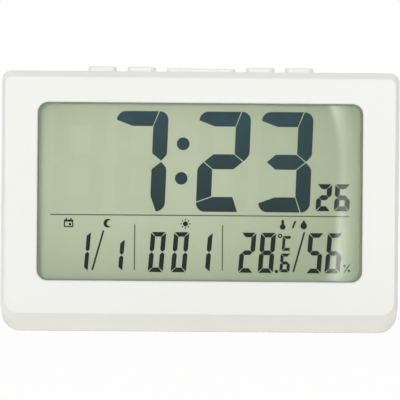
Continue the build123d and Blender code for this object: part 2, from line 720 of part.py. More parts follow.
# Rubber contact strip from the glass ledge to the main board
with BuildPart() as strip:
    plate(REAR_GLASS_DEPTH, BOARD_DEPTH - REAR_GLASS_DEPTH, STRIP_WIDTH, STRIP_HEIGHT, STRIP_Z)
save(strip, "contact_strip")

# Main board
with BuildPart() as board:
    board_z = (BOARD_BOTTOM + BOARD_TOP) / 2
    plate(BOARD_DEPTH, BOARD_THICK, BOARD_WIDTH, BOARD_HEIGHT, board_z, BOARD_R)
    discs(BOARD_SCREWS, SMALL_SCREW_R + SCREW_CLEARANCE, BOARD_DEPTH, BOARD_BACK, Mode.SUBTRACT)
    block(
        lamp_board_x - TAB_SLOT_GAP,
        lamp_x + TAB_SLOT_GAP,
        LAMP_BOARD_BOTTOM - TAB_SLOT_GAP,
        LAMP_BOARD_BOTTOM + LAMP_TAB_HEIGHT + TAB_SLOT_GAP,
        BOARD_DEPTH,
        BOARD_BACK,
        Mode.SUBTRACT,
    )
save(board, "main_board")

with BuildPart() as chip:
    dome_r = (CHIP_R**2 + CHIP_HEIGHT**2) / (2 * CHIP_HEIGHT)
    chip_axis = Axis((CHIP_AT[0], 0, CHIP_AT[1]), (0, 1, 0))
    with BuildSketch(Plane(origin=(CHIP_AT[0], y_at(BOARD_BACK), CHIP_AT[1]), z_dir=(0, 0, 1))):
        with BuildLine():
            Line((0, 0), (CHIP_R, 0))
            RadiusArc((CHIP_R, 0), (0, CHIP_HEIGHT), -dome_r)
            Line((0, CHIP_HEIGHT), (0, 0))
        make_face()
    revolve(axis=chip_axis)
save(chip, "controller_chip")

with BuildPart() as crystal:
    with BuildSketch(Plane.YZ.offset(CRYSTAL_AT[0])):
        with Locations((y_at(BOARD_BACK + CRYSTAL_R), CRYSTAL_AT[1])):
            Circle(CRYSTAL_R)
    extrude(amount=CRYSTAL_LENGTH)
    far_rim = crystal.edges().filter_by(GeomType.CIRCLE).group_by(Axis.X)[-1]
    chamfer(far_rim, length=CRYSTAL_CHAMFER)
save(crystal, "crystal")

with BuildPart() as capacitors:
    discs(CAPACITORS_AT, CAPACITOR_R, BOARD_BACK, BOARD_BACK + CAPACITOR_HEIGHT)
    tops = capacitors.edges().filter_by(GeomType.CIRCLE).group_by(Axis.Y)[-1]
    chamfer(tops, length=CAPACITOR_CHAMFER)
save(capacitors, "capacitors")

with BuildPart() as buzzer:
    discs([BUZZER_AT], BUZZER_R, BOARD_BACK, BOARD_BACK + BUZZER_HEIGHT)
    buzzer_rim = buzzer.edges().filter_by(GeomType.CIRCLE).group_by(Axis.Y)[-1]
    chamfer(buzzer_rim, length=BUZZER_CHAMFER)
    discs(
        [BUZZER_AT],
        BUZZER_PORT_R,
        BOARD_BACK + BUZZER_HEIGHT / 2,
        BOARD_BACK + BUZZER_HEIGHT,
        Mode.SUBTRACT,
    )
save(buzzer, "buzzer")

# Sensor for temperature and humidity, with slots in its cap
with BuildPart() as sensor:
    sensor_x, sensor_z = SENSOR_AT
    block(
        sensor_x - SENSOR_WIDTH / 2,
        sensor_x + SENSOR_WIDTH / 2,
        sensor_z - SENSOR_LENGTH / 2,
        sensor_z + SENSOR_LENGTH / 2,
        BOARD_BACK,
        BOARD_BACK + SENSOR_HEIGHT,
    )
    with BuildSketch(at_depth(BOARD_BACK + SENSOR_HEIGHT)):
        with Locations((sensor_x, sensor_z)):
            with GridLocations(*SENSOR_SLOT_PITCH, *SENSOR_SLOT_COUNT):
                Rectangle(*SENSOR_SLOT)
    extrude(amount=SENSOR_SLOT_DEPTH, mode=Mode.SUBTRACT)
save(sensor, "climate_sensor")

# Key board with five side-acting switches
with BuildPart() as key_board:
    plate(
        KEY_BOARD_DEPTH,
        KEY_BOARD_THICK,
        KEY_BOARD_WIDTH,
        KEY_BOARD_HEIGHT,
        (KEY_BOARD_BOTTOM + KEY_BOARD_TOP) / 2,
        KEY_BOARD_R,
    )
    discs(
        KEY_BOARD_SCREWS,
        SMALL_SCREW_R + SCREW_CLEARANCE,
        KEY_BOARD_DEPTH,
        KEY_BOARD_BACK,
        Mode.SUBTRACT,
    )
save(key_board, "key_board")

with BuildPart() as switches:
    for x, width, rise in KEYS.values():
        block(
            x - SWITCH_WIDTH / 2,
            x + SWITCH_WIDTH / 2,
            SWITCH_TOP - SWITCH_HEIGHT,
            SWITCH_TOP,
            KEY_DEPTH - SWITCH_BREADTH / 2,
            KEY_DEPTH + SWITCH_BREADTH / 2,
        )
        # foot that reaches back to the board
        block(
            x - SWITCH_WIDTH / 2 + SWITCH_FOOT_INSET,
            x + SWITCH_WIDTH / 2 - SWITCH_FOOT_INSET,
            SWITCH_TOP - SWITCH_HEIGHT,
            SWITCH_TOP - SWITCH_FOOT_DROP,
            KEY_DEPTH + SWITCH_BREADTH / 2,
            KEY_BOARD_DEPTH,
        )
    with BuildSketch(Plane.XY.offset(SWITCH_TOP)):
        for x, width, rise in KEYS.values():
            with Locations((x, y_at(KEY_DEPTH))):
                Circle(PLUNGER_R + PLUNGER_GAP)
    plunger_foot = KEY_FOOT - PLUNGER_LENGTH
    well = SWITCH_TOP - plunger_foot + KEY_TRAVEL + PLUNGER_SPARE
    extrude(amount=-well, mode=Mode.SUBTRACT)
save(switches, "key_switches")

# Keys, each with a flange under the top wall, and the switch plunger that moves with it
for name, (x, width, rise) in KEYS.items():
    with BuildPart() as key:
        with BuildSketch(Plane.XY.offset(KEY_FOOT)):
            with Locations((x, y_at(KEY_DEPTH))):
                RectangleRounded(
                    width + 2 * KEY_FLANGE,
                    KEY_BREADTH + 2 * KEY_FLANGE,
                    KEY_R + KEY_FLANGE,
                )
        extrude(amount=KEY_FLANGE_THICK)
        with BuildSketch(Plane.XY.offset(KEY_FOOT)):
            with Locations((x, y_at(KEY_DEPTH))):
                RectangleRounded(width, KEY_BREADTH, KEY_R)
        extrude(amount=BODY_HEIGHT + rise - KEY_FOOT)
        fillet(key.faces().sort_by(Axis.Z)[-1].edges(), radius=KEY_EDGE_R)
    save(key, "key_" + name)

    with BuildPart() as plunger:
        with BuildSketch(Plane.XY.offset(KEY_FOOT - PLUNGER_LENGTH)):
            with Locations((x, y_at(KEY_DEPTH))):
                Circle(PLUNGER_R)
        extrude(amount=PLUNGER_LENGTH)
    save(plunger, "plunger_" + name)

# Rear cover: the back half of the casing
bay_top = BAY_Z + BAY_HEIGHT / 2
bay_bottom = BAY_Z - BAY_HEIGHT / 2
bay_half = BAY_WIDTH / 2
door_open_half = DOOR_WIDTH / 2 + DOOR_GAP
frame_top = DOOR_OPEN_TOP + TONGUE_REACH + TONGUE_ROOM + DOOR_FRAME
stand_half = STAND_WIDTH / 2 + STAND_GAP

with BuildPart() as rear_cover:
    with BuildSketch(at_depth(BEZEL_DEPTH)):
        add(casing_face())
    extrude(amount=-REAR_DEPTH)
    fillet(rear_cover.faces().sort_by(Axis.Y)[-1].edges(), radius=REAR_EDGE_R)
    with BuildSketch(at_depth(BEZEL_DEPTH)):
        add(inset_face(WALL))
    extrude(amount=-(BACK_INSIDE - BEZEL_DEPTH), mode=Mode.SUBTRACT)

    # tongue round the edge that fits inside the bezel
    with BuildSketch(at_depth(BEZEL_DEPTH)):
        add(inset_face(WALL - LIP_GAP))
        add(inset_face(WALL + LIP_GAP + LIP_WALL), mode=Mode.SUBTRACT)
    extrude(amount=-LIP_ROOT)
    with BuildSketch(at_depth(BEZEL_DEPTH - LIP_DEPTH)):
        add(inset_face(WALL + LIP_GAP))
        add(inset_face(WALL + LIP_GAP + LIP_WALL), mode=Mode.SUBTRACT)
    extrude(amount=-LIP_DEPTH)

    # stiffening ribs on the back wall
    for x in (-STIFFENER_X, STIFFENER_X):
        block(
            x - RIB_WALL / 2,
            x + RIB_WALL / 2,
            WALL,
            BODY_HEIGHT - WALL,
            BACK_INSIDE - STIFFENER_HEIGHT,
            BACK_INSIDE,
        )

    # posts for the case screws
    discs(CASE_SCREWS, CASE_POST_R, BEZEL_DEPTH, BACK_INSIDE)
    discs(CASE_SCREWS, CASE_SCREW_R + SCREW_CLEARANCE, BEZEL_DEPTH, CASE_SEAT, Mode.SUBTRACT)
    discs(CASE_SCREWS, CASE_HEAD_R + SCREW_CLEARANCE, CASE_SEAT, BODY_DEPTH, Mode.SUBTRACT)

    # battery compartment with a stepped mouth for its door
    block(
        -door_open_half - DOOR_FRAME,
        door_open_half + DOOR_FRAME,
        DOOR_OPEN_BOTTOM - DOOR_FRAME,
        frame_top,
        DOOR_FRAME_DEPTH,
        BACK_INSIDE,
    )
    block(
        -bay_half - BAY_WALL,
        bay_half + BAY_WALL,
        bay_bottom - BAY_WALL,
        bay_top + BAY_WALL,
        BAY_FLOOR - BAY_WALL,
        DOOR_FRAME_DEPTH,
    )
    block(-bay_half, bay_half, bay_bottom, bay_top, BAY_FLOOR, DOOR_DEPTH, Mode.SUBTRACT)
    block(
        -door_open_half,
        door_open_half,
        DOOR_OPEN_BOTTOM,
        DOOR_OPEN_TOP,
        DOOR_DEPTH,
        BODY_DEPTH,
        Mode.SUBTRACT,
    )
    for x in (-TONGUE_X, TONGUE_X):
        tongue_half = TONGUE_WIDTH / 2 + DOOR_GAP
        block(
            x - tongue_half,
            x + tongue_half,
            bay_top,
            DOOR_OPEN_TOP,
            TONGUE_POCKET,
            DOOR_DEPTH,
            Mode.SUBTRACT,
        )
        block(
            x - tongue_half,
            x + tongue_half,
            DOOR_OPEN_TOP,
            DOOR_OPEN_TOP + TONGUE_REACH + TONGUE_ROOM,
            TONGUE_POCKET,
            BACK_INSIDE,
            Mode.SUBTRACT,
        )
    # slots in the compartment's floor for the solder tabs
    for x, z in ((-1, BAY_Z + CELL_PITCH), (1, BAY_Z - CELL_PITCH)):
        edge = x * bay_half
        inner = edge - x * (PLATE_THICK + TAB_GAP)
        block(
            min(edge, inner),
            max(edge, inner),
            z - TAB_WIDTH / 2 - TAB_GAP,
            z + TAB_WIDTH / 2 + TAB_GAP,
            BAY_FLOOR - BAY_WALL,
            BAY_FLOOR,
            Mode.SUBTRACT,
        )

    # recess for the folding stand, open at the base, with a cheek at each side for its pins
    block(
        -stand_half - STAND_CHEEK,
        stand_half + STAND_CHEEK,
        WALL,
        STAND_TOP + STAND_FLOOR_THICK,
        STAND_FLOOR - STAND_FLOOR_THICK,
        BACK_INSIDE,
    )
    block(-stand_half, stand_half, 0.0, STAND_TOP, STAND_FLOOR, BODY_DEPTH, Mode.SUBTRACT)
    with BuildSketch(Plane.YZ.offset(-stand_half - PIN_LENGTH)):
        with Locations((y_at(STAND_PIVOT_DEPTH), STAND_PIVOT_Z)):
            Circle(PIN_R + PIN_GAP)
    extrude(amount=2 * (stand_half + PIN_LENGTH), mode=Mode.SUBTRACT)

    # keyhole hanger with a closed box behind it
    box_half = KEYHOLE_BOX_WIDTH / 2
    box_high = KEYHOLE_BOX_LOW + KEYHOLE_BOX_HEIGHT
    block(-box_half, box_half, KEYHOLE_BOX_LOW, box_high, KEYHOLE_BOX_DEPTH, BACK_INSIDE)
    block(
        -box_half + KEYHOLE_BOX_WALL,
        box_half - KEYHOLE_BOX_WALL,
        KEYHOLE_BOX_LOW + KEYHOLE_BOX_WALL,
        box_high - KEYHOLE_BOX_WALL,
        KEYHOLE_BOX_DEPTH + KEYHOLE_BOX_WALL,
        BACK_INSIDE,
        Mode.SUBTRACT,
    )
    with BuildSketch(at_depth(BACK_INSIDE)):
        with Locations((0, KEYHOLE_Z)):
            Circle(KEYHOLE_R)
        with Locations((0, KEYHOLE_MID)):
            SlotCenterToCenter(KEYHOLE_RISE, 2 * KEYHOLE_SLOT_R, rotation=90)
    extrude(amount=-WALL, mode=Mode.SUBTRACT)

    # vents behind the climate sensor and sound holes behind the buzzer
    with BuildSketch(at_depth(BACK_INSIDE)):
        with Locations(SENSOR_AT):
            with GridLocations(1, VENT_PITCH, 1, VENT_COUNT):
                SlotOverall(VENT_WIDTH, VENT_HEIGHT)
        with Locations(BUZZER_AT):
            Circle(SOUND_HOLE_R)
            with PolarLocations(SOUND_RING_R, SOUND_COUNT):
                Circle(SOUND_HOLE_R)
    extrude(amount=-WALL, mode=Mode.SUBTRACT)
save(rear_cover, "rear_cover")

# Battery door: a flush panel with two tongues above and a sprung latch finger below
with BuildPart() as door:
    plate(DOOR_DEPTH, DOOR_THICK, DOOR_WIDTH, DOOR_HEIGHT, BAY_Z)
    fillet(door.edges().filter_by(Axis.Y).group_by(Axis.Z)[0], radius=DOOR_CORNER_R)
    door_bottom = BAY_Z - DOOR_HEIGHT / 2
    for x in (-TONGUE_X, TONGUE_X):
        block(
            x - TONGUE_WIDTH / 2,
            x + TONGUE_WIDTH / 2,
            bay_top + DOOR_GAP,
            DOOR_OPEN_TOP + TONGUE_REACH,
            TONGUE_DEPTH,
            TONGUE_DEPTH + TONGUE_THICK,
        )
        block(
            x - TONGUE_WIDTH / 2,
            x + TONGUE_WIDTH / 2,
            bay_top + DOOR_GAP,
            BAY_Z + DOOR_HEIGHT / 2,
            TONGUE_DEPTH + TONGUE_THICK,
            DOOR_DEPTH,
        )
    for x in (-LATCH_WIDTH / 2, LATCH_WIDTH / 2):
        block(
            x - LATCH_SLIT / 2,
            x + LATCH_SLIT / 2,
            door_bottom,
            door_bottom + LATCH_LENGTH,
            DOOR_DEPTH,
            BODY_DEPTH,
            Mode.SUBTRACT,
        )
    with BuildSketch(at_depth(BODY_DEPTH)):
        with Locations((0, door_bottom + LATCH_LENGTH / 2)):
            with GridLocations(1, GRIP_PITCH, 1, GRIP_COUNT):
                SlotOverall(LATCH_WIDTH - 2 * GRIP_MARGIN, GRIP_HEIGHT)
    extrude(amount=GRIP_DEPTH, mode=Mode.SUBTRACT)
save(door, "battery_door")

# Cells side by side, turned end for end; direction +1 has the positive nub to the right
cells = {
    "cell_upper": (BAY_Z + CELL_PITCH, 1),
    "cell_middle": (BAY_Z, -1),
    "cell_lower": (BAY_Z - CELL_PITCH, 1),
}
nub_end = bay_half - PLATE_THICK - BUMP_HEIGHT
can_end = nub_end - CELL_NUB
can_start = nub_end - CELL_LENGTH
can_r = CELL_R - CELL_CHAMFER
for name, (z, direction) in cells.items():
    with BuildPart() as cell:
        centre = (0, y_at(CELL_DEPTH), z)
        with BuildSketch(Plane(origin=centre, x_dir=(direction, 0, 0), z_dir=(0, -direction, 0))):
            with BuildLine():
                Polyline(
                    (can_start, 0),
                    (can_start, can_r),
                    (can_start + CELL_CHAMFER, CELL_R),
                    (can_end - CELL_CHAMFER, CELL_R),
                    (can_end, can_r),
                    (can_end, CELL_NUB_R),
                    (nub_end, CELL_NUB_R),
                    (nub_end, 0),
                    close=True,
                )
            make_face()
        revolve(axis=Axis(centre, (1, 0, 0)))
    save(cell, name)


def contact_plate(side, z_low, z_high):
    """Sheet-metal plate at one end of the compartment; side is -1 at the left, 1 at the right."""
    edge = side * bay_half
    inner = edge - side * PLATE_THICK
    block(min(edge, inner), max(edge, inner), z_low, z_high, BAY_FLOOR, PLATE_TOP)


def solder_tab(side, z):
    """Tab that passes through the compartment's floor towards the board."""
    edge = side * bay_half
    inner = edge - side * PLATE_THICK
    low, high = sorted((edge, inner))
    block(low, high, z - TAB_WIDTH / 2, z + TAB_WIDTH / 2, TAB_END, BAY_FLOOR)


def contact_bump(side, z):
    """Raised button that meets a cell's positive nub."""
    with BuildSketch(Plane.YZ.offset(side * (bay_half - PLATE_THICK))) as button:
        with Locations((y_at(CELL_DEPTH), z)):
            Circle(BUMP_R)
    extrude(button.sketch, amount=-side * BUMP_HEIGHT)


def contact_spring(side, z):
    """Bent leaf that presses on a cell's negative end; it is fixed to the plate at its root."""
    plate_x = side * (bay_half - PLATE_THICK)
    root_x = plate_x + side * PLATE_THICK / 2
    pad_x = plate_x - side * (LEAF_ROOM - PLATE_THICK / 2)
    free_x = plate_x - side * LEAF_LIFT
    mid_y = y_at(CELL_DEPTH)
    with BuildSketch(Plane.XY.offset(z - LEAF_WIDTH / 2)) as leaf:
        with BuildLine():
            FilletPolyline(
                (root_x, mid_y - LEAF_SPAN),
                (pad_x, mid_y - LEAF_PAD / 2),
                (pad_x, mid_y + LEAF_PAD / 2),
                (free_x, mid_y + LEAF_SPAN),
                radius=LEAF_BEND_R,
            )
        trace(line_width=PLATE_THICK)
    extrude(leaf.sketch, amount=LEAF_WIDTH)


upper_z = BAY_Z + CELL_PITCH
lower_z = BAY_Z - CELL_PITCH
half_plate = PLATE_WIDTH / 2

with BuildPart() as contact_negative:
    contact_plate(-1, upper_z - half_plate, upper_z + half_plate)
    solder_tab(-1, upper_z)
    contact_spring(-1, upper_z)
save(contact_negative, "contact_negative")

with BuildPart() as contact_positive:
    contact_plate(1, lower_z - half_plate, lower_z + half_plate)
    solder_tab(1, lower_z)
    contact_bump(1, lower_z)
save(contact_positive, "contact_positive")

with BuildPart() as bridge_right:
    contact_plate(1, BAY_Z - half_plate, upper_z + half_plate)
    contact_bump(1, upper_z)
    contact_spring(1, BAY_Z)
save(bridge_right, "contact_bridge_right")

with BuildPart() as bridge_left:
    contact_plate(-1, lower_z - half_plate, BAY_Z + half_plate)
    contact_bump(-1, BAY_Z)
    contact_spring(-1, lower_z)
save(bridge_left, "contact_bridge_left")


def lead(side, z):
    """Wire from a solder tab round to the back of the main board."""
    tab_y = y_at((TAB_END + BAY_FLOOR - BAY_WALL) / 2)
    land_z = BOARD_TOP - LEAD_LAND_DROP
    route = (
        (side * bay_half, tab_y, z),
        (side * (bay_half + LEAD_OUT), tab_y, z),
        (side * LEAD_X, tab_y + LEAD_SAG, (z + BOARD_TOP) / 2),
        (side * LEAD_X, y_at(BOARD_BACK + LEAD_LIFT), land_z),
        (side * LEAD_X, y_at(BOARD_BACK), land_z),
    )
    with BuildLine() as path:
        FilletPolyline(*route, radius=[LEAD_BEND_R, LEAD_BEND_R, LEAD_LAND_R])
    with BuildSketch(Plane(origin=path.line @ 0, z_dir=path.line % 0)) as wire:
        Circle(LEAD_R)
    sweep(wire.sketch, path=path.line)


with BuildPart() as lead_black:
    lead(-1, upper_z)
save(lead_black, "lead_black")

with BuildPart() as lead_red:
    lead(1, lower_z)
save(lead_red, "lead_red")

# Flat ribbon from the main board up to the key board
with BuildPart() as ribbon:
    ribbon_low = y_at(BOARD_BACK + RIBBON_THICK / 2)
    ribbon_high = y_at(KEY_BOARD_DEPTH - RIBBON_THICK / 2)
    with BuildSketch(Plane.YZ.offset(RIBBON_X - RIBBON_WIDTH / 2)):
        with BuildLine() as ribbon_path:
            FilletPolyline(
                (ribbon_low, BOARD_TOP - RIBBON_LAP),
                (ribbon_low, BOARD_TOP + RIBBON_RUN),
                (ribbon_high, KEY_BOARD_BOTTOM - RIBBON_RUN),
                (ribbon_high, KEY_BOARD_BOTTOM + RIBBON_END_LAP),
                radius=RIBBON_BEND_R,
            )
        trace(line_width=RIBBON_THICK)
    extrude(amount=RIBBON_WIDTH)
save(ribbon, "ribbon_cable")

# Folding stand with a hinge barrel, two pins and a stiffening rim on its inner side
stand_back = STAND_PIVOT_DEPTH + STAND_BARREL_R
stand_front = stand_back - STAND_THICK
stand_z = (STAND_BOTTOM + STAND_PIVOT_Z) / 2
stand_height = STAND_PIVOT_Z - STAND_BOTTOM
with BuildPart() as stand:
    with BuildSketch(at_depth(stand_front)) as leg:
        with Locations((0, stand_z)):
            Rectangle(STAND_WIDTH, stand_height)
        fillet(leg.vertices().group_by(Axis.Y)[0], radius=STAND_FOOT_R)
    extrude(amount=-STAND_THICK)
    fillet(stand.edges().group_by(Axis.Y)[-1].group_by(Axis.Z)[0], radius=STAND_EDGE_R)
    with BuildSketch(at_depth(stand_front - STAND_RIB)):
        rim_outer = 2 * STAND_RIM_INSET
        rim_inner = 2 * (STAND_RIM_INSET + STAND_RIM_WALL)
        with Locations((0, stand_z)):
            Rectangle(STAND_WIDTH - rim_outer, stand_height - rim_outer)
            Rectangle(STAND_WIDTH - rim_inner, stand_height - rim_inner, mode=Mode.SUBTRACT)
    extrude(amount=-STAND_RIB)
    with BuildSketch(Plane.YZ.offset(-STAND_WIDTH / 2)):
        with Locations((y_at(STAND_PIVOT_DEPTH), STAND_PIVOT_Z)):
            Circle(STAND_BARREL_R)
    extrude(amount=STAND_WIDTH)
    pin_reach = STAND_WIDTH / 2 + STAND_GAP + PIN_LENGTH - PIN_END_GAP
    with BuildSketch(Plane.YZ.offset(-pin_reach)):
        with Locations((y_at(STAND_PIVOT_DEPTH), STAND_PIVOT_Z)):
            Circle(PIN_R)
    extrude(amount=2 * pin_reach)
save(stand, "stand")

# Screws
case_screws = screws(
    CASE_SCREWS, CASE_SEAT, CASE_SCREW_R, CASE_SCREW_LENGTH, CASE_HEAD_R, CASE_HEAD_HEIGHT
)
save(case_screws, "case_screws")
small = (SMALL_SCREW_R, SMALL_SCREW_LENGTH, SMALL_HEAD_R, SMALL_HEAD_HEIGHT)
save(screws(BOARD_SCREWS, BOARD_BACK, *small), "board_screws")
save(screws(KEY_BOARD_SCREWS, KEY_BOARD_BACK, *small), "key_board_screws")
save(screws(EAR_SCREWS, BOARD_DEPTH, *small), "holder_screws")
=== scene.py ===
"""Day clock for a desk or a wall: finishes, display marks, studio light and camera."""
import json
import logging
import math
from collections.abc import Callable
from dataclasses import dataclass
from enum import Enum

import bmesh
import bpy
from bmesh.types import BMesh
from bpy.types import Material, Mesh, Node, NodeOutputs, NodeSocket, NodeTree, Object
from mathutils import Matrix, Vector


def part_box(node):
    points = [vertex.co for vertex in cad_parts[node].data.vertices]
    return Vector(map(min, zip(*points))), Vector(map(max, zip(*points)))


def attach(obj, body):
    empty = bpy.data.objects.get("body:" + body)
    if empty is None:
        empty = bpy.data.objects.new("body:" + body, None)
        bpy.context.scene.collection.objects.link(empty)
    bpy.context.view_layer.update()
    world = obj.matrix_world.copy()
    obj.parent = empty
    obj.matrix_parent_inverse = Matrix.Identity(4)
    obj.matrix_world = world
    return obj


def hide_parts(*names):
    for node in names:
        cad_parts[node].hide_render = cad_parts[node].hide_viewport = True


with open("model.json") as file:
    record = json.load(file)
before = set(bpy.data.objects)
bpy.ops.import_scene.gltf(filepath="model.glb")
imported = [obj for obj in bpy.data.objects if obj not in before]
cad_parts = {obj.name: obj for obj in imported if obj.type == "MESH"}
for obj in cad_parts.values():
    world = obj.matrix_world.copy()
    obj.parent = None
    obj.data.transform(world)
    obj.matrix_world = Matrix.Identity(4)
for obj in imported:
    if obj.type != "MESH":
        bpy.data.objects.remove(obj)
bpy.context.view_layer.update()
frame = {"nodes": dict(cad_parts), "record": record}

MM = 0.001
log = logging.getLogger("day_clock")

Colour = tuple[float, float, float, float]
Point = tuple[float, float]
Corner = tuple[float, float, float]
Outline = list[Point]

WHITE: Colour = (1.0, 1.0, 1.0, 1.0)
ARC_STEPS = 6
RING_SIDES = 24


def paint(red: int, green: int, blue: int) -> Colour:
    """Turns a display colour into the linear colour that shaders take.

    Args:
        red: Red from 0 to 255.
        green: Green from 0 to 255.
        blue: Blue from 0 to 255.

    Returns:
        The linear colour with full alpha.
    """
    def linear(level: int) -> float:
        """Undoes the display curve for one channel."""
        share = level / 255
        return share / 12.92 if share <= 0.04045 else ((share + 0.055) / 1.055) ** 2.4

    return (linear(red), linear(green), linear(blue), 1.0)


class Body(str, Enum):
    """The bodies that pieces made here ride on."""

    CLOCK = "clock"


class Slot(str, Enum):
    """Names of finishes that a scene may repaint; no piece made here is given them."""

    DISPLAY = "polariser_grey"
    SCREWS = "screw_steel"


class Seg(Enum):
    """The seven segments of a digit, with their usual letters."""

    TOP = "a"
    UPPER_RIGHT = "b"
    LOWER_RIGHT = "c"
    BOTTOM = "d"
    LOWER_LEFT = "e"
    UPPER_LEFT = "f"
    MIDDLE = "g"


LIT = {"0": "abcdef", "1": "bc", "2": "abged", "3": "abgcd", "5": "afgcd", "6": "afgcde",
       "7": "abc", "8": "abcdefg"}


# -------------------------------------------------------------- objects and meshes


def link(name: str, data: bpy.types.ID) -> Object:
    """Makes an object in the scene.

    Args:
        name: The object's name.
        data: Its mesh, lamp or camera.

    Returns:
        The object.
    """
    thing = bpy.data.objects.new(name, data)
    bpy.context.scene.collection.objects.link(thing)
    return thing


def mesh_from(name: str, shape: BMesh, *materials: Material) -> Mesh:
    """Turns a shape into a mesh and frees the shape.

    Args:
        name: The mesh's name.
        shape: The shape.
        *materials: The finishes it wears.

    Returns:
        The mesh.
    """
    mesh = bpy.data.meshes.new(name)
    shape.to_mesh(mesh)
    shape.free()
    for material in materials:
        mesh.materials.append(material)
    return mesh


def loft(levels: list[list[Vector | Corner]]) -> BMesh:
    """Joins rings of points into one closed solid.

    Args:
        levels: The rings from one end to the other, with as many points in each.

    Returns:
        The solid.
    """
    shape = bmesh.new()
    rings = [[shape.verts.new(point) for point in level] for level in levels]
    for low, high in zip(rings, rings[1:]):
        for side in range(len(low)):
            after = (side + 1) % len(low)
            shape.faces.new((low[side], low[after], high[after], high[side]))
    shape.faces.new(reversed(rings[0]))
    shape.faces.new(rings[-1])
    bmesh.ops.recalc_face_normals(shape, faces=shape.faces)
    return shape


def middle_of(node: str) -> Vector:
    """Returns the middle of a CAD node's box."""
    low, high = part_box(node)
    return (low + high) / 2


# -------------------------------------------------------------------- shader tools


def emptied(holder: Material | bpy.types.World) -> NodeTree:
    """Switches nodes on and clears them.

    Args:
        holder: The material or world.

    Returns:
        Its empty shader tree.
    """
    holder.use_nodes = True
    holder.node_tree.nodes.clear()
    return holder.node_tree


class Wiring:
    """Adds nodes to one shader tree and joins them."""

    def __init__(self, tree: NodeTree) -> None:
        """Keeps the tree that the nodes go into."""
        self.tree = tree

    def feed(self, socket: NodeSocket, value: object) -> None:
        """Feeds an input.

        Args:
            socket: The input.
            value: The socket to link to it, or its plain value.
        """
        if isinstance(value, NodeSocket):
            self.tree.links.new(value, socket)
        else:
            socket.default_value = value

    def add(self, kind: str, inputs: dict[str | int, object] | None = None,
            **settings: object) -> Node:
        """Adds one node.

        Args:
            kind: The node's class, without its ShaderNode prefix.
            inputs: Plain values or sockets for the node's inputs, by name or number.
            **settings: The node's own properties.

        Returns:
            The new node.
        """
        node = self.tree.nodes.new("ShaderNode" + kind)
        for name, value in settings.items():
            setattr(node, name, value)
        for name, value in (inputs or {}).items():
            self.feed(node.inputs[name], value)
        return node

    def math(self, operation: str, *values: object) -> NodeSocket:
        """Adds a Math node and returns its result."""
        return self.add("Math", dict(enumerate(values)), operation=operation).outputs[0]

    def vector(self, operation: str, *values: object) -> NodeOutputs:
        """Adds a Vector Math node and returns its outputs."""
        return self.add("VectorMath", dict(enumerate(values)), operation=operation).outputs

    def blend(self, share: object, first: object, second: object,
              mode: str = "MIX") -> NodeSocket:
        """Mixes two colours by a share and returns the result."""
        inputs = {0: share, 6: first, 7: second}
        return self.add("Mix", inputs, data_type="RGBA", blend_type=mode).outputs[2]

    def ramp(self, value: object, low: float, high: float) -> NodeSocket:
        """Turns a value between low and high into a soft 0 to 1."""
        inputs = {"Value": value, "From Min": low, "From Max": high}
        return self.add("MapRange", inputs, interpolation_type="SMOOTHSTEP").outputs[0]

    def place(self) -> NodeSocket:
        """Returns the object coordinates, in metres."""
        return self.add("TexCoord").outputs["Object"]

    def noise(self, scale: object, detail: float = 2.0, place: NodeSocket | None = None,
              **more: object) -> NodeSocket:
        """Adds a cloudy noise over the object, or over another place, and returns it."""
        inputs = {"Vector": place or self.place(), "Scale": scale, "Detail": detail, **more}
        return self.add("TexNoise", inputs).outputs[0]

    def seen(self) -> NodeSocket:
        """Returns 1 for what the camera sees, also in gloss and through glass."""
        rays = self.add("LightPath")
        return self.math("MAXIMUM", rays.outputs["Is Camera Ray"],
                         self.math("MAXIMUM", rays.outputs["Is Glossy Ray"],
                                   rays.outputs["Is Transmission Ray"]))


class Surface(Wiring):
    """The shader tree of one material, round its Principled shader."""

    def __init__(self, name: str) -> None:
        """Makes the material.

        Args:
            name: Its name.
        """
        self.material = bpy.data.materials.new(name)
        super().__init__(emptied(self.material))
        self.shader = self.add("BsdfPrincipled")
        self.output = self.add("OutputMaterial", {"Surface": self.shader.outputs[0]})

    def set(self, **inputs: object) -> None:
        """Feeds the shader's inputs, named with _ for spaces."""
        for name, value in inputs.items():
            self.feed(self.shader.inputs[name.replace("_", " ")], value)

    def rough(self, texture: NodeSocket, middle: float, spread: float) -> NodeSocket:
        """Returns a roughness that a texture spreads about its middle value."""
        return self.math("MULTIPLY_ADD", texture, spread, middle - spread / 2)

    def bump(self, height: NodeSocket, distance: float, strength: float,
             **more: object) -> None:
        """Raises the surface by a height, in metres."""
        inputs = {"Height": height, "Distance": distance, "Strength": strength, **more}
        self.set(Normal=self.add("Bump", inputs).outputs[0])

    def mix_in(self, share: NodeSocket, other: Node) -> None:
        """Mixes another shader into the surface by a share."""
        both = self.add("MixShader", {0: share, 1: self.shader.outputs[0], 2: other.outputs[0]})
        self.feed(self.output.inputs["Surface"], both.outputs[0])


class Group(Wiring):
    """A shader group that is being wired."""

    def __init__(self, name: str, takes: dict[str, str], gives: dict[str, str]) -> None:
        """Makes an empty group with its sockets.

        Args:
            name: The group's name.
            takes: Socket kinds by input name.
            gives: Socket kinds by output name.
        """
        super().__init__(bpy.data.node_groups.new(name, "ShaderNodeTree"))
        for side, sockets in (("INPUT", takes), ("OUTPUT", gives)):
            for socket, kind in sockets.items():
                self.tree.interface.new_socket(socket, in_out=side,
                                               socket_type="NodeSocket" + kind)
        self.given = self.tree.nodes.new("NodeGroupInput")
        self.result = self.tree.nodes.new("NodeGroupOutput")

    def take(self, name: str) -> NodeSocket:
        """Returns one of the group's inputs."""
        return self.given.outputs[name]

    def give(self, **outputs: NodeSocket) -> None:
        """Feeds the group's outputs."""
        for name, value in outputs.items():
            self.feed(self.result.inputs[name], value)


# ------------------------------------------------------------------ shared effects


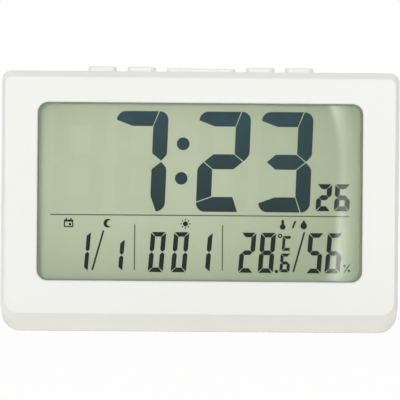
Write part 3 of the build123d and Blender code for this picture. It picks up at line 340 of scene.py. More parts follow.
@dataclass
class Effect:
    """A shader group that several finishes share, built when it is first used."""

    wire: Callable[[Group], None]
    takes: dict[str, str]
    gives: dict[str, str]
    tree: NodeTree | None = None

    def use(self, wiring: Wiring, **inputs: object) -> NodeOutputs:
        """Places the effect in a material.

        Args:
            wiring: The material's wiring.
            **inputs: Values or sockets for the group's inputs.

        Returns:
            The outputs of the placed group.
        """
        if self.tree is None:
            group = Group(self.wire.__name__, self.takes, self.gives)
            self.wire(group)
            self.tree = group.tree
        node = wiring.tree.nodes.new("ShaderNodeGroup")
        node.node_tree = self.tree
        for name, value in inputs.items():
            wiring.feed(node.inputs[name], value)
        return node.outputs


def effect(takes: dict[str, str],
           gives: dict[str, str]) -> Callable[[Callable[[Group], None]], Effect]:
    """Turns the function that wires a group into the effect of its name."""
    return lambda wire: Effect(wire, takes, gives)


@effect({"Cells": "Float"}, {"Height": "Float", "Fleck": "Float"})
def moulded_grain(group: Group) -> None:
    """Spark-eroded mould texture: a fine pebble with softer waves under it.

    Args:
        group: The group to wire.
    """
    place, cells = group.place(), group.take("Cells")
    pebble = group.add("TexVoronoi", {"Vector": place, "Scale": cells}, feature="SMOOTH_F1")
    fine = group.noise(cells, 3.0, place)
    waves = group.noise(55.0, 1.0, place)
    grain = group.math("ADD", group.math("MULTIPLY", pebble.outputs["Distance"], 0.55),
                       group.math("MULTIPLY", fine, 0.45))
    group.give(Height=group.math("ADD", grain, group.math("MULTIPLY", waves, 0.8)), Fleck=fine)


@effect({"Base": "Color", "Drift": "Color", "Patches": "Float", "Amount": "Float"},
        {"Colour": "Color"})
def colour_drift(group: Group) -> None:
    """Slow change of colour over a surface, as resin and ageing give.

    Args:
        group: The group to wire.
    """
    cloud = group.ramp(group.noise(group.take("Patches"), 4.0), 0.3, 0.7)
    share = group.math("MULTIPLY", cloud, group.take("Amount"))
    group.give(Colour=group.blend(share, group.take("Base"), group.take("Drift")))


@effect({"Reach": "Float"}, {"Mask": "Float"})
def edge_polish(group: Group) -> None:
    """Mask of the outer edges that hands have rubbed smooth, in patches.

    Args:
        group: The group to wire.
    """
    soft = group.add("Bevel", {"Radius": group.take("Reach")}, samples=4)
    plain = group.add("NewGeometry")
    alike = group.vector("DOT_PRODUCT", soft.outputs[0], plain.outputs["Normal"])["Value"]
    edge = group.ramp(group.math("SUBTRACT", 1.0, alike), 0.02, 0.2)
    patchy = group.ramp(group.noise(160.0), 0.3, 0.6)
    group.give(Mask=group.math("MULTIPLY", edge, patchy))


@effect({"Reach": "Float"}, {"Mask": "Float"})
def crevice_dust(group: Group) -> None:
    """Mask of the joints and corners that are shut in, in specks: partly dust settling there and
    partly painted shade.

    Args:
        group: The group to wire.
    """
    # Ambient occlusion finds the shut-in places, so this mask paints shade there along with dust.
    openness = group.add("AmbientOcclusion", {"Distance": group.take("Reach")},
                         samples=6, only_local=False)
    shut = group.ramp(group.math("SUBTRACT", 1.0, openness.outputs["AO"]), 0.45, 0.95)
    speck = group.ramp(group.noise(900.0), 0.25, 0.65)
    group.give(Mask=group.math("MULTIPLY", shut, speck))


@effect({"Stretch": "Vector"}, {"Height": "Float", "Shade": "Float"})
def drawn_lines(group: Group) -> None:
    """Long fine lines that rolling or drawing leave on metal, and its tarnish.

    Args:
        group: The group to wire.
    """
    along = group.vector("MULTIPLY", group.place(), group.take("Stretch"))[0]
    group.give(Height=group.noise(1.0, 3.0, along),
               Shade=group.ramp(group.noise(350.0, 3.0), 0.35, 0.7))


@effect({"Amount": "Float"}, {"Roughness": "Float"})
def smudges(group: Group) -> None:
    """Faint wiped haze and finger marks on a polished surface.

    Args:
        group: The group to wire.
    """
    polished = 0.006
    haze = group.ramp(group.noise(22.0, 3.0, Distortion=0.6), 0.5, 0.75)
    marks = group.math("MULTIPLY", haze, group.take("Amount"))
    group.give(Roughness=group.math("ADD", marks, polished))


# ------------------------------------------------------------------------ finishes


@dataclass(frozen=True)
class Finish:
    """A look, which each kind of finish wires in its own way.

    In all of them, lengths are in metres, and cells and patches are counted per metre.
    """

    name: str

    def build(self) -> Material:
        """Makes the material.

        Returns:
            The material.
        """
        skin = Surface(self.name)
        self.wire(skin)
        return skin.material

    def wire(self, skin: Surface) -> None:
        """Wires the nodes of the surface."""
        raise NotImplementedError


@dataclass(frozen=True)
class MouldedPlastic(Finish):
    """Injection-moulded plastic with an eroded grain."""

    colour: Colour
    drift: Colour
    roughness: float = 0.42
    cells: float = 1900.0
    depth: float = 0.00003
    soft_edge: float = 0.0003
    patches: float = 14.0
    drift_amount: float = 0.6
    # Colour mixed into shut-in corners in specks: partly dust, partly painted shade.
    dust: Colour = paint(176, 170, 156)
    dust_amount: float = 0.35
    dust_reach: float = 0.0012
    polish: float = 0.12
    polish_reach: float = 0.0005

    def wire(self, skin: Surface) -> None:
        """Wires drifting colour, dust and painted shade in corners, rubbed edges and the grain.

        Args:
            skin: The surface to wire.
        """
        drift = colour_drift.use(skin, Base=self.colour, Drift=self.drift,
                                 Patches=self.patches, Amount=self.drift_amount)
        dust = crevice_dust.use(skin, Reach=self.dust_reach)
        grain = moulded_grain.use(skin, Cells=self.cells)
        edge = edge_polish.use(skin, Reach=self.polish_reach)
        # Painted shade and dust: shut-in corners darken towards this colour.
        share = skin.math("MULTIPLY", dust["Mask"], self.dust_amount)
        rubbed = skin.math("MULTIPLY", edge["Mask"], self.polish)
        flecks = skin.rough(grain["Fleck"], self.roughness, 0.12)
        skin.set(Base_Color=skin.blend(share, drift["Colour"], self.dust),
                 Roughness=skin.math("SUBTRACT", flecks, rubbed))
        soft = skin.add("Bevel", {"Radius": self.soft_edge}, samples=6)
        skin.bump(grain["Height"], self.depth, 0.5, Normal=soft.outputs[0])


@dataclass(frozen=True)
class SoftPolymer(Finish):
    """Rubber, foam or wire insulation: matt, with a fine skin."""

    colour: Colour
    bloom: Colour
    roughness: float = 0.75
    cells: float = 2600.0
    depth: float = 0.00005

    def wire(self, skin: Surface) -> None:
        """Wires bloomed colour, a faint sheen and the fine grain.

        Args:
            skin: The surface to wire.
        """
        drift = colour_drift.use(skin, Base=self.colour, Drift=self.bloom, Patches=90.0, Amount=0.7)
        grain = moulded_grain.use(skin, Cells=self.cells)
        skin.set(Base_Color=drift["Colour"], Sheen_Weight=0.08,
                 Roughness=skin.rough(grain["Fleck"], self.roughness, 0.2))
        skin.bump(grain["Height"], self.depth, 0.7)


@dataclass(frozen=True)
class PlatedMetal(Finish):
    """Rolled or drawn metal with a plated skin and a little tarnish."""

    colour: Colour
    tarnish: Colour
    roughness: float = 0.33
    stretch: tuple[float, float, float] = (120.0, 5200.0, 5200.0)
    tarnish_amount: float = 0.55

    def wire(self, skin: Surface) -> None:
        """Wires the drawn lines and the tarnish.

        Args:
            skin: The surface to wire.
        """
        lines = drawn_lines.use(skin, Stretch=self.stretch)
        shade = skin.math("MULTIPLY", lines["Shade"], self.tarnish_amount)
        skin.set(Base_Color=skin.blend(shade, self.colour, self.tarnish), Metallic=1.0,
                 Roughness=skin.rough(lines["Height"], self.roughness, 0.18))
        skin.bump(lines["Height"], 0.00002, 0.35)


@dataclass(frozen=True)
class ClearSheet(Finish):
    """Clear glass or acrylic. Lamps shine straight through it."""

    tint: Colour
    shade: Colour
    index: float = 1.49
    smudge: float = 0.02

    def wire(self, skin: Surface) -> None:
        """Wires the tint, the smudges and the clear way for shadow rays.

        Args:
            skin: The surface to wire.
        """
        haze = smudges.use(skin, Amount=self.smudge)
        tint = colour_drift.use(skin, Base=self.tint, Drift=self.shade, Patches=20.0, Amount=0.5)
        skin.set(Base_Color=tint["Colour"], Roughness=haze["Roughness"],
                 Transmission_Weight=1.0, IOR=self.index)
        skin.mix_in(skin.add("LightPath").outputs["Is Shadow Ray"],
                    skin.add("BsdfTransparent", {"Color": self.tint}))


@dataclass(frozen=True)
class DisplayFilm(Finish):
    """The face of the display: grey-green, warmer in the middle, and darker towards the window's
    edges, most on the right; this darkening is partly the film's own unevenness and partly painted
    shade.

    The middle says where the painted shade is centred, and width and height how far it spreads.
    """

    middle_colour: Colour
    edge_colour: Colour
    middle: Vector
    dim: float = 0.0
    width: float = 0.1
    height: float = 0.055
    level: float = 1.04

    def wire(self, skin: Surface) -> None:
        """Wires the painted shade towards the edges, the upright bands and the fine weave.

        Args:
            skin: The surface to wire.
        """
        place = skin.place()
        centred = skin.vector("SUBTRACT", place, self.middle)
        scaled = skin.vector("MULTIPLY", centred[0], (1 / self.width, 0.0, 1 / self.height))
        reach = skin.vector("LENGTH", scaled[0])["Value"]
        # Painted shade: away from its middle the film turns to the darker edge colour.
        colour = skin.blend(skin.ramp(reach, 0.35, 1.35), self.middle_colour, self.edge_colour)
        stretched = skin.vector("MULTIPLY", place, (110.0, 0.0, 9.0))
        bands = skin.noise(1.0, 2.0, stretched[0])
        weave = skin.noise(5200.0, 1.0, place)
        uneven = skin.math("ADD", skin.math("MULTIPLY", bands, 0.05),
                           skin.math("MULTIPLY", weave, 0.03))
        level = skin.math("SUBTRACT", self.level - self.dim, uneven)
        grey = skin.add("CombineColor", {0: level, 1: level, 2: level})
        skin.set(Base_Color=skin.blend(1.0, colour, grey.outputs[0], "MULTIPLY"),
                 Specular_IOR_Level=0.1, Roughness=skin.rough(weave, 0.575, 0.15))
        skin.bump(weave, 0.00001, 0.3)


@dataclass(frozen=True)
class SegmentDye(Finish):
    """Dark segments, bluer at the top of the display and greener lower down."""

    high_colour: Colour
    low_colour: Colour
    bottom: float
    top: float

    def wire(self, skin: Surface) -> None:
        """Wires the change of colour with height.

        Args:
            skin: The surface to wire.
        """
        height = skin.add("SeparateXYZ", {0: skin.place()}).outputs[2]
        colour = skin.blend(skin.ramp(height, self.bottom, self.top), self.low_colour,
                            self.high_colour)
        drift = colour_drift.use(skin, Base=colour, Drift=self.low_colour, Patches=70.0,
                                 Amount=0.35)
        skin.set(Base_Color=drift["Colour"], Specular_IOR_Level=0.04,
                 Roughness=skin.rough(skin.noise(4200.0), 0.625, 0.15))


@dataclass(frozen=True)
class CircuitLaminate(Finish):
    """Glass-fibre board under solder mask, with copper tracks showing through."""

    mask: Colour
    track: Colour

    def wire(self, skin: Surface) -> None:
        """Wires the tracks and the weave.

        Args:
            skin: The surface to wire.
        """
        place = skin.place()
        turned = skin.add("Mapping", {"Vector": place, "Rotation": (math.pi / 2, 0, 0)})
        lanes = skin.add("TexBrick", {
            "Vector": turned.outputs[0], "Color1": self.track, "Color2": self.mask,
            "Mortar": self.mask, "Scale": 260.0, "Mortar Size": 0.03})
        weave = skin.noise(1500.0, 2.0, place)
        share = skin.math("MULTIPLY", skin.ramp(weave, 0.35, 0.65), 0.25)
        skin.set(Base_Color=skin.blend(share, lanes.outputs["Color"], self.mask),
                 Roughness=skin.rough(weave, 0.4, 0.2))
        skin.bump(lanes.outputs["Fac"], 0.00004, 0.4)


@dataclass(frozen=True)
class TwoPartFinish(Finish):
    """A piece whose ends or rim are bare metal and whose middle is covered.

    The cover shows where the distance from the middle, along the axis, is under reach.
    """

    cover: Colour
    cover_shade: Colour
    metal: Colour
    middle: Vector
    axis: tuple[float, float, float]
    reach: float
    blur: float = 0.00005
    roughness: float = 0.35

    def wire(self, skin: Surface) -> None:
        """Wires the cover over the metal.

        Args:
            skin: The surface to wire.
        """
        centred = skin.vector("SUBTRACT", skin.place(), self.middle)
        along = skin.vector("DOT_PRODUCT", centred[0], self.axis)["Value"]
        distance = skin.math("ABSOLUTE", along)
        bare = skin.ramp(distance, self.reach - self.blur, self.reach + self.blur)
        lines = drawn_lines.use(skin, Stretch=(3000.0, 900.0, 900.0))
        cover = colour_drift.use(skin, Base=self.cover, Drift=self.cover_shade,
                                 Patches=120.0, Amount=0.8)
        skin.set(Base_Color=skin.blend(bare, cover["Colour"], self.metal), Metallic=bare,
                 Roughness=skin.rough(lines["Height"], self.roughness, 0.2))
        skin.bump(lines["Height"], 0.00002, 0.3)


@dataclass(frozen=True)
class StudioPaper(Finish):
    """Floor of pale paper that looks white to the camera and keeps shadows."""

    colour: Colour
    glow: float
    fibre: Colour = paint(200, 198, 190)

    def wire(self, skin: Surface) -> None:
        """Wires the fibres and the white that the camera sees.

        Args:
            skin: The surface to wire.
        """
        shade = skin.math("MULTIPLY", skin.noise(700.0, 3.0), 0.05)
        skin.set(Base_Color=skin.blend(shade, self.colour, self.fibre), Roughness=0.9,
                 Specular_IOR_Level=0.1)
        skin.mix_in(skin.math("MULTIPLY", skin.seen(), self.glow),
                    skin.add("Emission", {"Color": WHITE, "Strength": 1.0}))


def dress(finish: Finish, *nodes: str) -> None:
    """Gives CAD nodes a finish.

    Args:
        finish: The finish.
        *nodes: The nodes that take it.
    """
    material = finish.build()
    for name in nodes:
        for place in frame["nodes"][name].material_slots:
            place.material = material
        log.info("dressed %s in %s", name, material.name)


# -------------------------------------------------------------------- flat outlines


def rounded(corners: list[Corner]) -> Outline:
    """Rounds the corners of a closed outline with arcs.

    Args:
        corners: Each corner's place and the radius of its arc, 0 for a sharp one.

    Returns:
        The points of the rounded outline.
    """
    outline: Outline = []
    count = len(corners)
    for index, (x, y, radius) in enumerate(corners):
        corner = Vector((x, y))
        if radius <= 0:
            outline.append((x, y))
            continue
        before = (Vector(corners[index - 1][:2]) - corner).normalized()
        after = (Vector(corners[(index + 1) % count][:2]) - corner).normalized()
        half = before.angle(after) / 2
        start = corner + before * radius / math.tan(half)
        middle = corner + (before + after).normalized() * radius / math.sin(half)
        first = start - middle
        end = corner + after * radius / math.tan(half) - middle
        turn = first.angle_signed(end)
        for step in range(ARC_STEPS + 1):
            arm = first.copy()
            arm.rotate(Matrix.Rotation(-turn * step / ARC_STEPS, 2))
            outline.append(tuple(middle + arm))
    return outline


def ring(x: float, y: float, radius: float) -> Outline:
    """Returns a circle's points."""
    turns = (2 * math.pi * side / RING_SIDES for side in range(RING_SIDES))
    return [(x + radius * math.cos(turn), y + radius * math.sin(turn)) for turn in turns]


def arc(x: float, y: float, radius: float, angles: range) -> Outline:
    """Returns the points of a circle at the given angles, in degrees."""
    turns = (math.radians(angle) for angle in angles)
    return [(x + radius * math.cos(turn), y + radius * math.sin(turn)) for turn in turns]


def stroke(start: Point | Vector, end: Point | Vector, width: float) -> Outline:
    """Draws a straight line with square ends.

    Args:
        start: The middle of one end.
        end: The middle of the other end.
        width: The line's width.

    Returns:
        Its four corners.
    """
    first, last = Vector(start), Vector(end)
    side = (last - first).orthogonal().normalized() * width / 2
    return [tuple(first + side), tuple(last + side), tuple(last - side), tuple(first - side)]


def block(left: float, low: float, right: float, high: float) -> Outline:
    """Returns an upright rectangle's corners."""
    return [(left, low), (right, low), (right, high), (left, high)]


@dataclass(frozen=True)
class DigitStyle:
    """Sizes of one kind of seven-segment digit, in millimetres and degrees."""

    width: float
    height: float
    bar: float
    gap: float
    slant: float = 2.0

    def shapes(self) -> dict[Seg, Outline]:
        """Draws the seven segments round the digit's middle.

        Returns:
            Each segment's outline.
        """
        upright, post, cap, middle = self._bars()
        return {
            Seg.TOP: rounded(cap), Seg.BOTTOM: rounded(self._flipped(cap)),
            Seg.UPPER_RIGHT: rounded(upright), Seg.LOWER_RIGHT: rounded(self._flipped(upright)),
            Seg.UPPER_LEFT: rounded(post), Seg.LOWER_LEFT: rounded(self._flipped(post)),
            Seg.MIDDLE: rounded(middle),
        }

    def _bars(self) -> tuple[list[Corner], ...]:
        """Places the corners of the four kinds of bar, round at the digit's corners.

        The round corners belong to the flat bars on the left and to the upright bars on
        the right.

        Returns:
            The corners of the upper right, upper left, top and middle bars.
        """
        side, top, bar, gap = self.width / 2, self.height / 2, self.bar, self.gap
        inner, under, half = side - bar, top - bar, bar / 2
        turn, shoulder, tip = 0.6 * bar, 0.45 * bar, side - 0.37 * bar
        upright = [
            (side - turn, top, 0.0), (side, top, turn), (side, shoulder, half),
            (tip, gap / 2, 0.0), (inner, half + gap / 2, 0.0), (inner, under - gap, 0.0),
        ]
        post = [
            (-side, top - turn - gap, 0.0), (-side, shoulder, half),
            (-tip, gap / 2, 0.0), (-inner, half + gap / 2, 0.0), (-inner, under - gap / 2, 0.0),
        ]
        cap = [
            (-side, top - turn, 0.0), (-side, top, turn), (side - 0.67 * bar, top, 0.0),
            (inner - gap / 3, under, 0.0), (-inner + gap, under, 0.0),
        ]
        return upright, post, cap, self._middle(tip, inner, half)

    def _middle(self, tip: float, inner: float, half: float) -> list[Corner]:
        """Places the corners of the middle bar.

        Args:
            tip: How far out the uprights come to their points.
            inner: How far out the uprights' inner sides are.
            half: Half the bar's thickness.

        Returns:
            The six corners.
        """
        reach, flat = tip - self.gap, inner - self.gap / 2
        return [(-reach, 0.0, 0.0), (-flat, half, 0.0), (flat, half, 0.0),
                (reach, 0.0, 0.0), (flat, -half, 0.0), (-flat, -half, 0.0)]

    @staticmethod
    def _flipped(corners: list[Corner]) -> list[Corner]:
        """Mirrors corners top to bottom."""
        return [(x, -y, radius) for x, y, radius in corners]

    def draw(self, signs: str, places: tuple[float, ...], y: float,
             unlit: bool = False) -> list[Outline]:
        """Draws digits in a row.

        Args:
            signs: The digits to show.
            places: The places of their middles, across.
            y: The place of their middles, upwards.
            unlit: Draws the segments that the digits leave off.

        Returns:
            The outlines of the segments.
        """
        outlines: list[Outline] = []
        for sign, x in zip(signs, places):
            outlines += self._leaned([shape for seg, shape in self.shapes().items()
                                      if (seg.value in LIT[sign]) != unlit], x, y)
        return outlines

    def _leaned(self, outlines: list[Outline], x: float, y: float) -> list[Outline]:
        """Leans outlines over by the slant and moves their middle to x, y."""
        lean = math.tan(math.radians(self.slant))
        return [[(x + u + v * lean, y + v) for u, v in outline] for outline in outlines]


@dataclass(frozen=True)
class MitredDigitStyle(DigitStyle):
    """A digit whose bars meet on slanted cuts at all four corners."""

    def _bars(self) -> tuple[list[Corner], ...]:
        """Places the corners of the four kinds of bar, sharp and slightly nicked.

        Returns:
            The corners of the upper right, upper left, top and middle bars.
        """
        side, top, bar, gap = self.width / 2, self.height / 2, self.bar, self.gap
        inner, under, half = side - bar, top - bar, bar / 2
        nick, tip = 0.14 * bar, side - half
        upright = [
            (side, top - nick - gap / 2, 0.0), (side, half, 0.0), (tip, gap / 2, 0.0),
            (inner, half + gap / 2, 0.0), (inner, under - gap / 2, 0.0),
        ]
        post = [(-x, y, radius) for x, y, radius in upright]
        cap = [
            (nick + gap / 2 - side, top, 0.0), (side - nick - gap / 2, top, 0.0),
            (inner - gap / 2, under, 0.0), (gap / 2 - inner, under, 0.0),
        ]
        return upright, post, cap, self._middle(tip, inner, half)

    def bracket(self, x: float, y: float) -> list[Outline]:
        """Draws a C whose upright is one unbroken bar.

        Args:
            x: The place of its middle, across.
            y: The place of its middle, upwards.

        Returns:
            The outlines of its three bars.
        """
        side, top, gap = self.width / 2, self.height / 2, self.gap
        inner, under = side - self.bar, top - self.bar
        cap = [(gap - side, top), (side, top), (side - 0.2 * self.bar, under),
               (gap - inner, under)]
        upright = [(-side, top - 2 * gap), (-inner, under - gap), (-inner, gap - under),
                   (-side, 2 * gap - top)]
        return self._leaned([cap, [(u, -v) for u, v in cap], upright], x, y)


@dataclass(frozen=True)
class MarkPress:
    """Makes thin flat marks on the face of the display.

    Outlines are in millimetres from the middle of the window, all else in metres.
    """

    centre: Vector
    face: float
    clearance: float = 0.00001

    def stamp(self, name: str, material: Material, outlines: list[Outline],
              thickness: float = 0.00004) -> None:
        """Makes one piece of marks, riding on the clock.

        Args:
            name: The piece's name.
            material: The marks' finish.
            outlines: Their closed outlines. One inside another is a hole.
            thickness: Their thickness.
        """
        mesh = self._filled(name, outlines, thickness)
        front = Vector((self.centre.x, self.face - self.clearance - thickness / 2,
                        self.centre.z))
        mesh.transform(Matrix.Translation(front) @ Matrix.Rotation(math.pi / 2, 4, "X")
                       @ Matrix.Scale(MM, 4))
        shell = bmesh.new()
        shell.from_mesh(mesh)
        bpy.data.meshes.remove(mesh)
        bmesh.ops.remove_doubles(shell, verts=shell.verts, dist=1e-7)
        bmesh.ops.recalc_face_normals(shell, faces=shell.faces)
        piece = link(name, mesh_from(name, shell, material))
        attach(piece, Body.CLOCK.value)
        log.info("made %s with %d marks", name, len(outlines))

    @staticmethod
    def _filled(name: str, outlines: list[Outline], thickness: float) -> Mesh:
        """Fills outlines and gives them a thickness.

        Args:
            name: The curve's name.
            outlines: The outlines.
            thickness: The thickness.

        Returns:
            The flat mesh, in millimetres.
        """
        curve = bpy.data.curves.new(name, "CURVE")
        curve.dimensions = "2D"
        curve.fill_mode = "BOTH"
        for outline in outlines:
            spline = curve.splines.new("POLY")
            spline.points.add(len(outline) - 1)
            for point, (x, y) in zip(spline.points, outline):
                point.co = (x, y, 0.0, 1.0)
            spline.use_cyclic_u = True
        curve.extrude = thickness / 2 / MM
        drawn = bpy.data.objects.new(name + "_drawn", curve)
        mesh = bpy.data.meshes.new_from_object(drawn)
        bpy.data.objects.remove(drawn)
        bpy.data.curves.remove(curve)
        return mesh


class Pictogram:
    """The small signs over the fields, drawn about their middles."""

    @staticmethod
    def leaf() -> list[Outline]:
        """A calendar leaf with two rings and one marked day."""
        rings = [stroke((side, 1.25), (side, 1.9), 0.5) for side in (-0.9, 0.9)]
        return [block(-1.8, -1.6, 1.8, 1.3), block(-1.35, -1.15, 1.35, 0.5),
                block(0.1, -0.9, 1.0, 0.0), *rings]

    @staticmethod
    def moon() -> list[Outline]:
        """A crescent moon."""
        return [arc(0.0, 0.0, 1.7, range(40, 321, 20)) + arc(0.8, 0.0, 1.2, range(290, 69, -20))]

    @staticmethod
    def sun() -> list[Outline]:
        """A disc with eight short rays."""
        aims = (Vector((math.cos(step * math.pi / 4), math.sin(step * math.pi / 4)))
                for step in range(8))
        return [ring(0.0, 0.0, 0.95), *(stroke(aim * 1.25, aim * 1.9, 0.4) for aim in aims)]

    @staticmethod
    def thermometer() -> list[Outline]:
        """A stem on a round bulb."""
        return [arc(0.0, -0.9, 1.1, range(120, 421, 20)) + arc(0.0, 1.4, 0.5, range(0, 181, 30))]

    @staticmethod
    def drop() -> list[Outline]:
        """A falling drop."""
        return [[(0.0, 1.9), *arc(0.0, -0.5, 1.25, range(150, 391, 20))]]


# ------------------------------------------------------------------ sub-assemblies


@dataclass
class Casing:
    """Front bezel, rear cover, keys, battery door and stand."""

    shell: MouldedPlastic = MouldedPlastic(
        "casing_plastic", paint(241, 243, 241), paint(238, 239, 236), soft_edge=0.0011)
    caps: MouldedPlastic = MouldedPlastic(
        "key_plastic", paint(243, 243, 239), paint(238, 238, 232), roughness=0.34,
        cells=2600.0, depth=0.000015)
    plunger: MouldedPlastic = MouldedPlastic(
        "plunger_plastic", paint(124, 96, 78), paint(108, 84, 70))
    keys: tuple[str, ...] = ("outer_left", "inner_left", "wide", "inner_right", "outer_right")

    def build(self) -> None:
        """Dresses the casing's pieces."""
        dress(self.shell, "bezel", "rear_cover", "battery_door", "stand")
        dress(self.caps, *("key_" + key for key in self.keys))
        dress(self.plunger, *("plunger_" + key for key in self.keys))


@dataclass
class Display:
    """The lens, the layers of the display behind it, and what they show.

    Places of marks are in millimetres from the middle of the window, shade_reach and brightest,
    where the film's painted shade is lightest, in metres.
    """

    time: DigitStyle = DigitStyle(25.7, 50.0, 7.45, 0.5)
    seconds: DigitStyle = MitredDigitStyle(7.6, 13.5, 2.5, 0.17, 3.0)
    field: DigitStyle = MitredDigitStyle(7.6, 20.0, 2.3, 0.18, 4.6)
    day: DigitStyle = MitredDigitStyle(7.55, 19.9, 2.0, 0.22, 4.6)
    month: DigitStyle = MitredDigitStyle(6.3, 16.2, 2.1, 0.22, 4.6)
    unit: MitredDigitStyle = MitredDigitStyle(4.1, 7.4, 1.45, 0.12, 4.6)
    tenth: DigitStyle = MitredDigitStyle(5.0, 9.4, 1.55, 0.08, 4.6)
    time_row: float = 15.3
    time_places: tuple[float, float, float] = (-29.55, 11.6, 42.75)
    empty_place: float = -60.4
    lower_row: float = -29.95
    sign_row: float = -15.8
    sign_size: float = 1.3
    rule_width: float = 0.56
    slash_width: float = 0.88
    unlit_dim: float = 0.035
    unlit_thickness: float = 0.00002
    shade_reach: float = 0.04
    # The film's painted shade is lightest here, left of and a little over the window's middle.
    brightest: Vector = Vector((-0.03, 0.0, 0.008))

    def __post_init__(self) -> None:
        """Finds the film's face and the middle of the window."""
        low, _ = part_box("front_polariser")
        window = frame["record"]["physics"]["openings"][0]["box_m"]
        self.centre = Vector((0.0, 0.0, (window[0][2] + window[1][2]) / 2))
        self.press = MarkPress(self.centre, low.y)

    def build(self) -> None:
        """Dresses the layers and draws the marks."""
        self._layers()
        reach = self.shade_reach
        self._time(self._ink("segment_dye", paint(42, 68, 73), paint(28, 41, 43), reach),
                   self._film("unlit_segment_film", self.unlit_dim).build())
        self._small_fields(self._ink("small_segment_dye", paint(23, 35, 34),
                                     paint(17, 26, 25), 0.0))
        self._rules(self._ink("rule_ink", paint(84, 92, 72), paint(76, 84, 66), reach))
        self._signs(self._ink("printed_ink", paint(26, 28, 20), paint(22, 24, 16), reach))

    def _ink(self, name: str, high: Colour, low: Colour, top: float) -> Material:
        """Makes the finish of dark marks.

        Args:
            name: Its name.
            high: The colour up in the display.
            low: The colour at its foot.
            top: How far over the middle the upper colour is full.

        Returns:
            The material.
        """
        foot = self.centre.z - self.shade_reach
        return SegmentDye(name, high, low, foot, self.centre.z + top).build()

    def _film(self, name: str, dim: float) -> DisplayFilm:
        """Chooses the film's finish, plain or a little darker."""
        return DisplayFilm(name, paint(175, 182, 158), paint(151, 162, 137),
                           self.centre + self.brightest, dim)

    def _layers(self) -> None:
        """Dresses the lens, the foam and the glass stack."""
        dress(ClearSheet("lens_acrylic", (0.98, 0.99, 0.98, 1.0), (0.972, 0.985, 0.974, 1.0)),
              "display_lens")
        # The foam's mid-dark olive is partly the gasket's own colour and partly painted shade: it
        # stands for the shadow line round the inside of the window.
        dress(SoftPolymer("gasket_foam", paint(135, 140, 124), paint(148, 152, 135)),
              "lens_gasket")
        dress(self._film("display_film", 0.0), "front_polariser")
        dress(ClearSheet("display_glass", (0.93, 0.97, 0.94, 1.0), (0.91, 0.96, 0.92, 1.0),
                         1.52, 0.03), "lcd_front_glass", "lcd_rear_glass")
        dress(ClearSheet("guide_acrylic", (0.96, 0.98, 0.97, 1.0), (0.94, 0.97, 0.95, 1.0)),
              "light_guide")
        dress(MouldedPlastic("rear_film", paint(150, 154, 140), paint(140, 146, 130),
                             roughness=0.5), "rear_polariser")
        dress(MouldedPlastic("reflector_plastic", paint(246, 246, 244), paint(238, 239, 238),
                             roughness=0.55), "reflector_film")
        dress(MouldedPlastic("holder_plastic", paint(232, 232, 228), paint(222, 222, 216)),
              "lcd_holder")
        dress(SoftPolymer("striped_rubber", paint(58, 58, 60), paint(92, 92, 94)),
              "contact_strip")

    def _time(self, ink: Material, ghost: Material) -> None:
        """Draws the hours and minutes.

        Args:
            ink: Finish of the segments that are on.
            ghost: Finish of the segments that are off.
        """
        signs, row = "723", self.time_row
        names = ("hours_digit", "minutes_tens_digit", "minutes_units_digit")
        for name, sign, x in zip(names, signs, self.time_places):
            self.press.stamp(name, ink, self.time.draw(sign, (x,), row))
        self.press.stamp("colon_dots", ink, [ring(-8.55, 24.1, 3.2), ring(-9.4, 6.88, 3.15)])
        unlit = self.time.draw("8", (self.empty_place,), row)
        unlit += self.time.draw(signs, self.time_places, row, unlit=True)
        self.press.stamp("unlit_segments", ghost, unlit, self.unlit_thickness)

    def _small_fields(self, ink: Material) -> None:
        """Draws the seconds, date, weekday, temperature and humidity.

        Args:
            ink: Finish of the marks.
        """
        row, slash = self.lower_row, self.slash_width
        for name, outlines in (
                ("seconds_digits", self.seconds.draw("26", (61.8, 71.0), -2.2)),
                ("date_digits", [*self.day.draw("1", (-58.7,), row),
                                 *self.month.draw("1", (-41.0,), -31.6),
                                 stroke((-47.95, -19.4), (-53.45, -39.2), slash)]),
                ("weekday_digits", self.field.draw("001", (-21.2, -9.7, 2.0), row)),
                ("temperature_digits", [*self.field.draw("28", (23.8, 33.6), row),
                                        ring(38.45, -39.2, 0.85), ring(40.15, -21.45, 1.12),
                                        ring(40.15, -21.45, 0.48),
                                        *self.unit.bracket(43.3, -25.15),
                                        *self.tenth.draw("6", (42.7,), -34.9)]),
                ("humidity_digits", [stroke((52.25, -19.5), (46.85, -39.3), slash),
                                     *self.field.draw("56", (57.5, 66.95), row)]),
                ("percent_sign", [stroke((74.9, -35.5), (72.1, -39.5), 0.55),
                                  ring(72.4, -36.25, 0.68), ring(74.6, -38.65, 0.68)])):
            self.press.stamp(name, ink, outlines)

    def _rules(self, ink: Material) -> None:
        """Draws the printed lines between the fields."""
        ends = [((-74.5, -11.6), (74.5, -11.6))] + [((x, -16.2), (x, -39.0)) for x in (-32.4, 11.4)]
        self.press.stamp("field_rules", ink, [stroke(*pair, self.rule_width) for pair in ends])

    def _signs(self, ink: Material) -> None:
        """Draws the small printed signs over the fields.

        Args:
            ink: Finish of the marks.
        """
        size, row = self.sign_size, self.sign_row
        signs = ((Pictogram.leaf(), -65.4), (Pictogram.moon(), -45.8), (Pictogram.sun(), -7.1),
                 (Pictogram.thermometer(), 41.4), (Pictogram.drop(), 51.9))
        marks = [[(x + u * size, row + v * size) for u, v in outline]
                 for outlines, x in signs for outline in outlines]
        marks.append(stroke((47.7, -14.0), (46.3, -17.6), self.slash_width))
        self.press.stamp("field_signs", ink, marks)


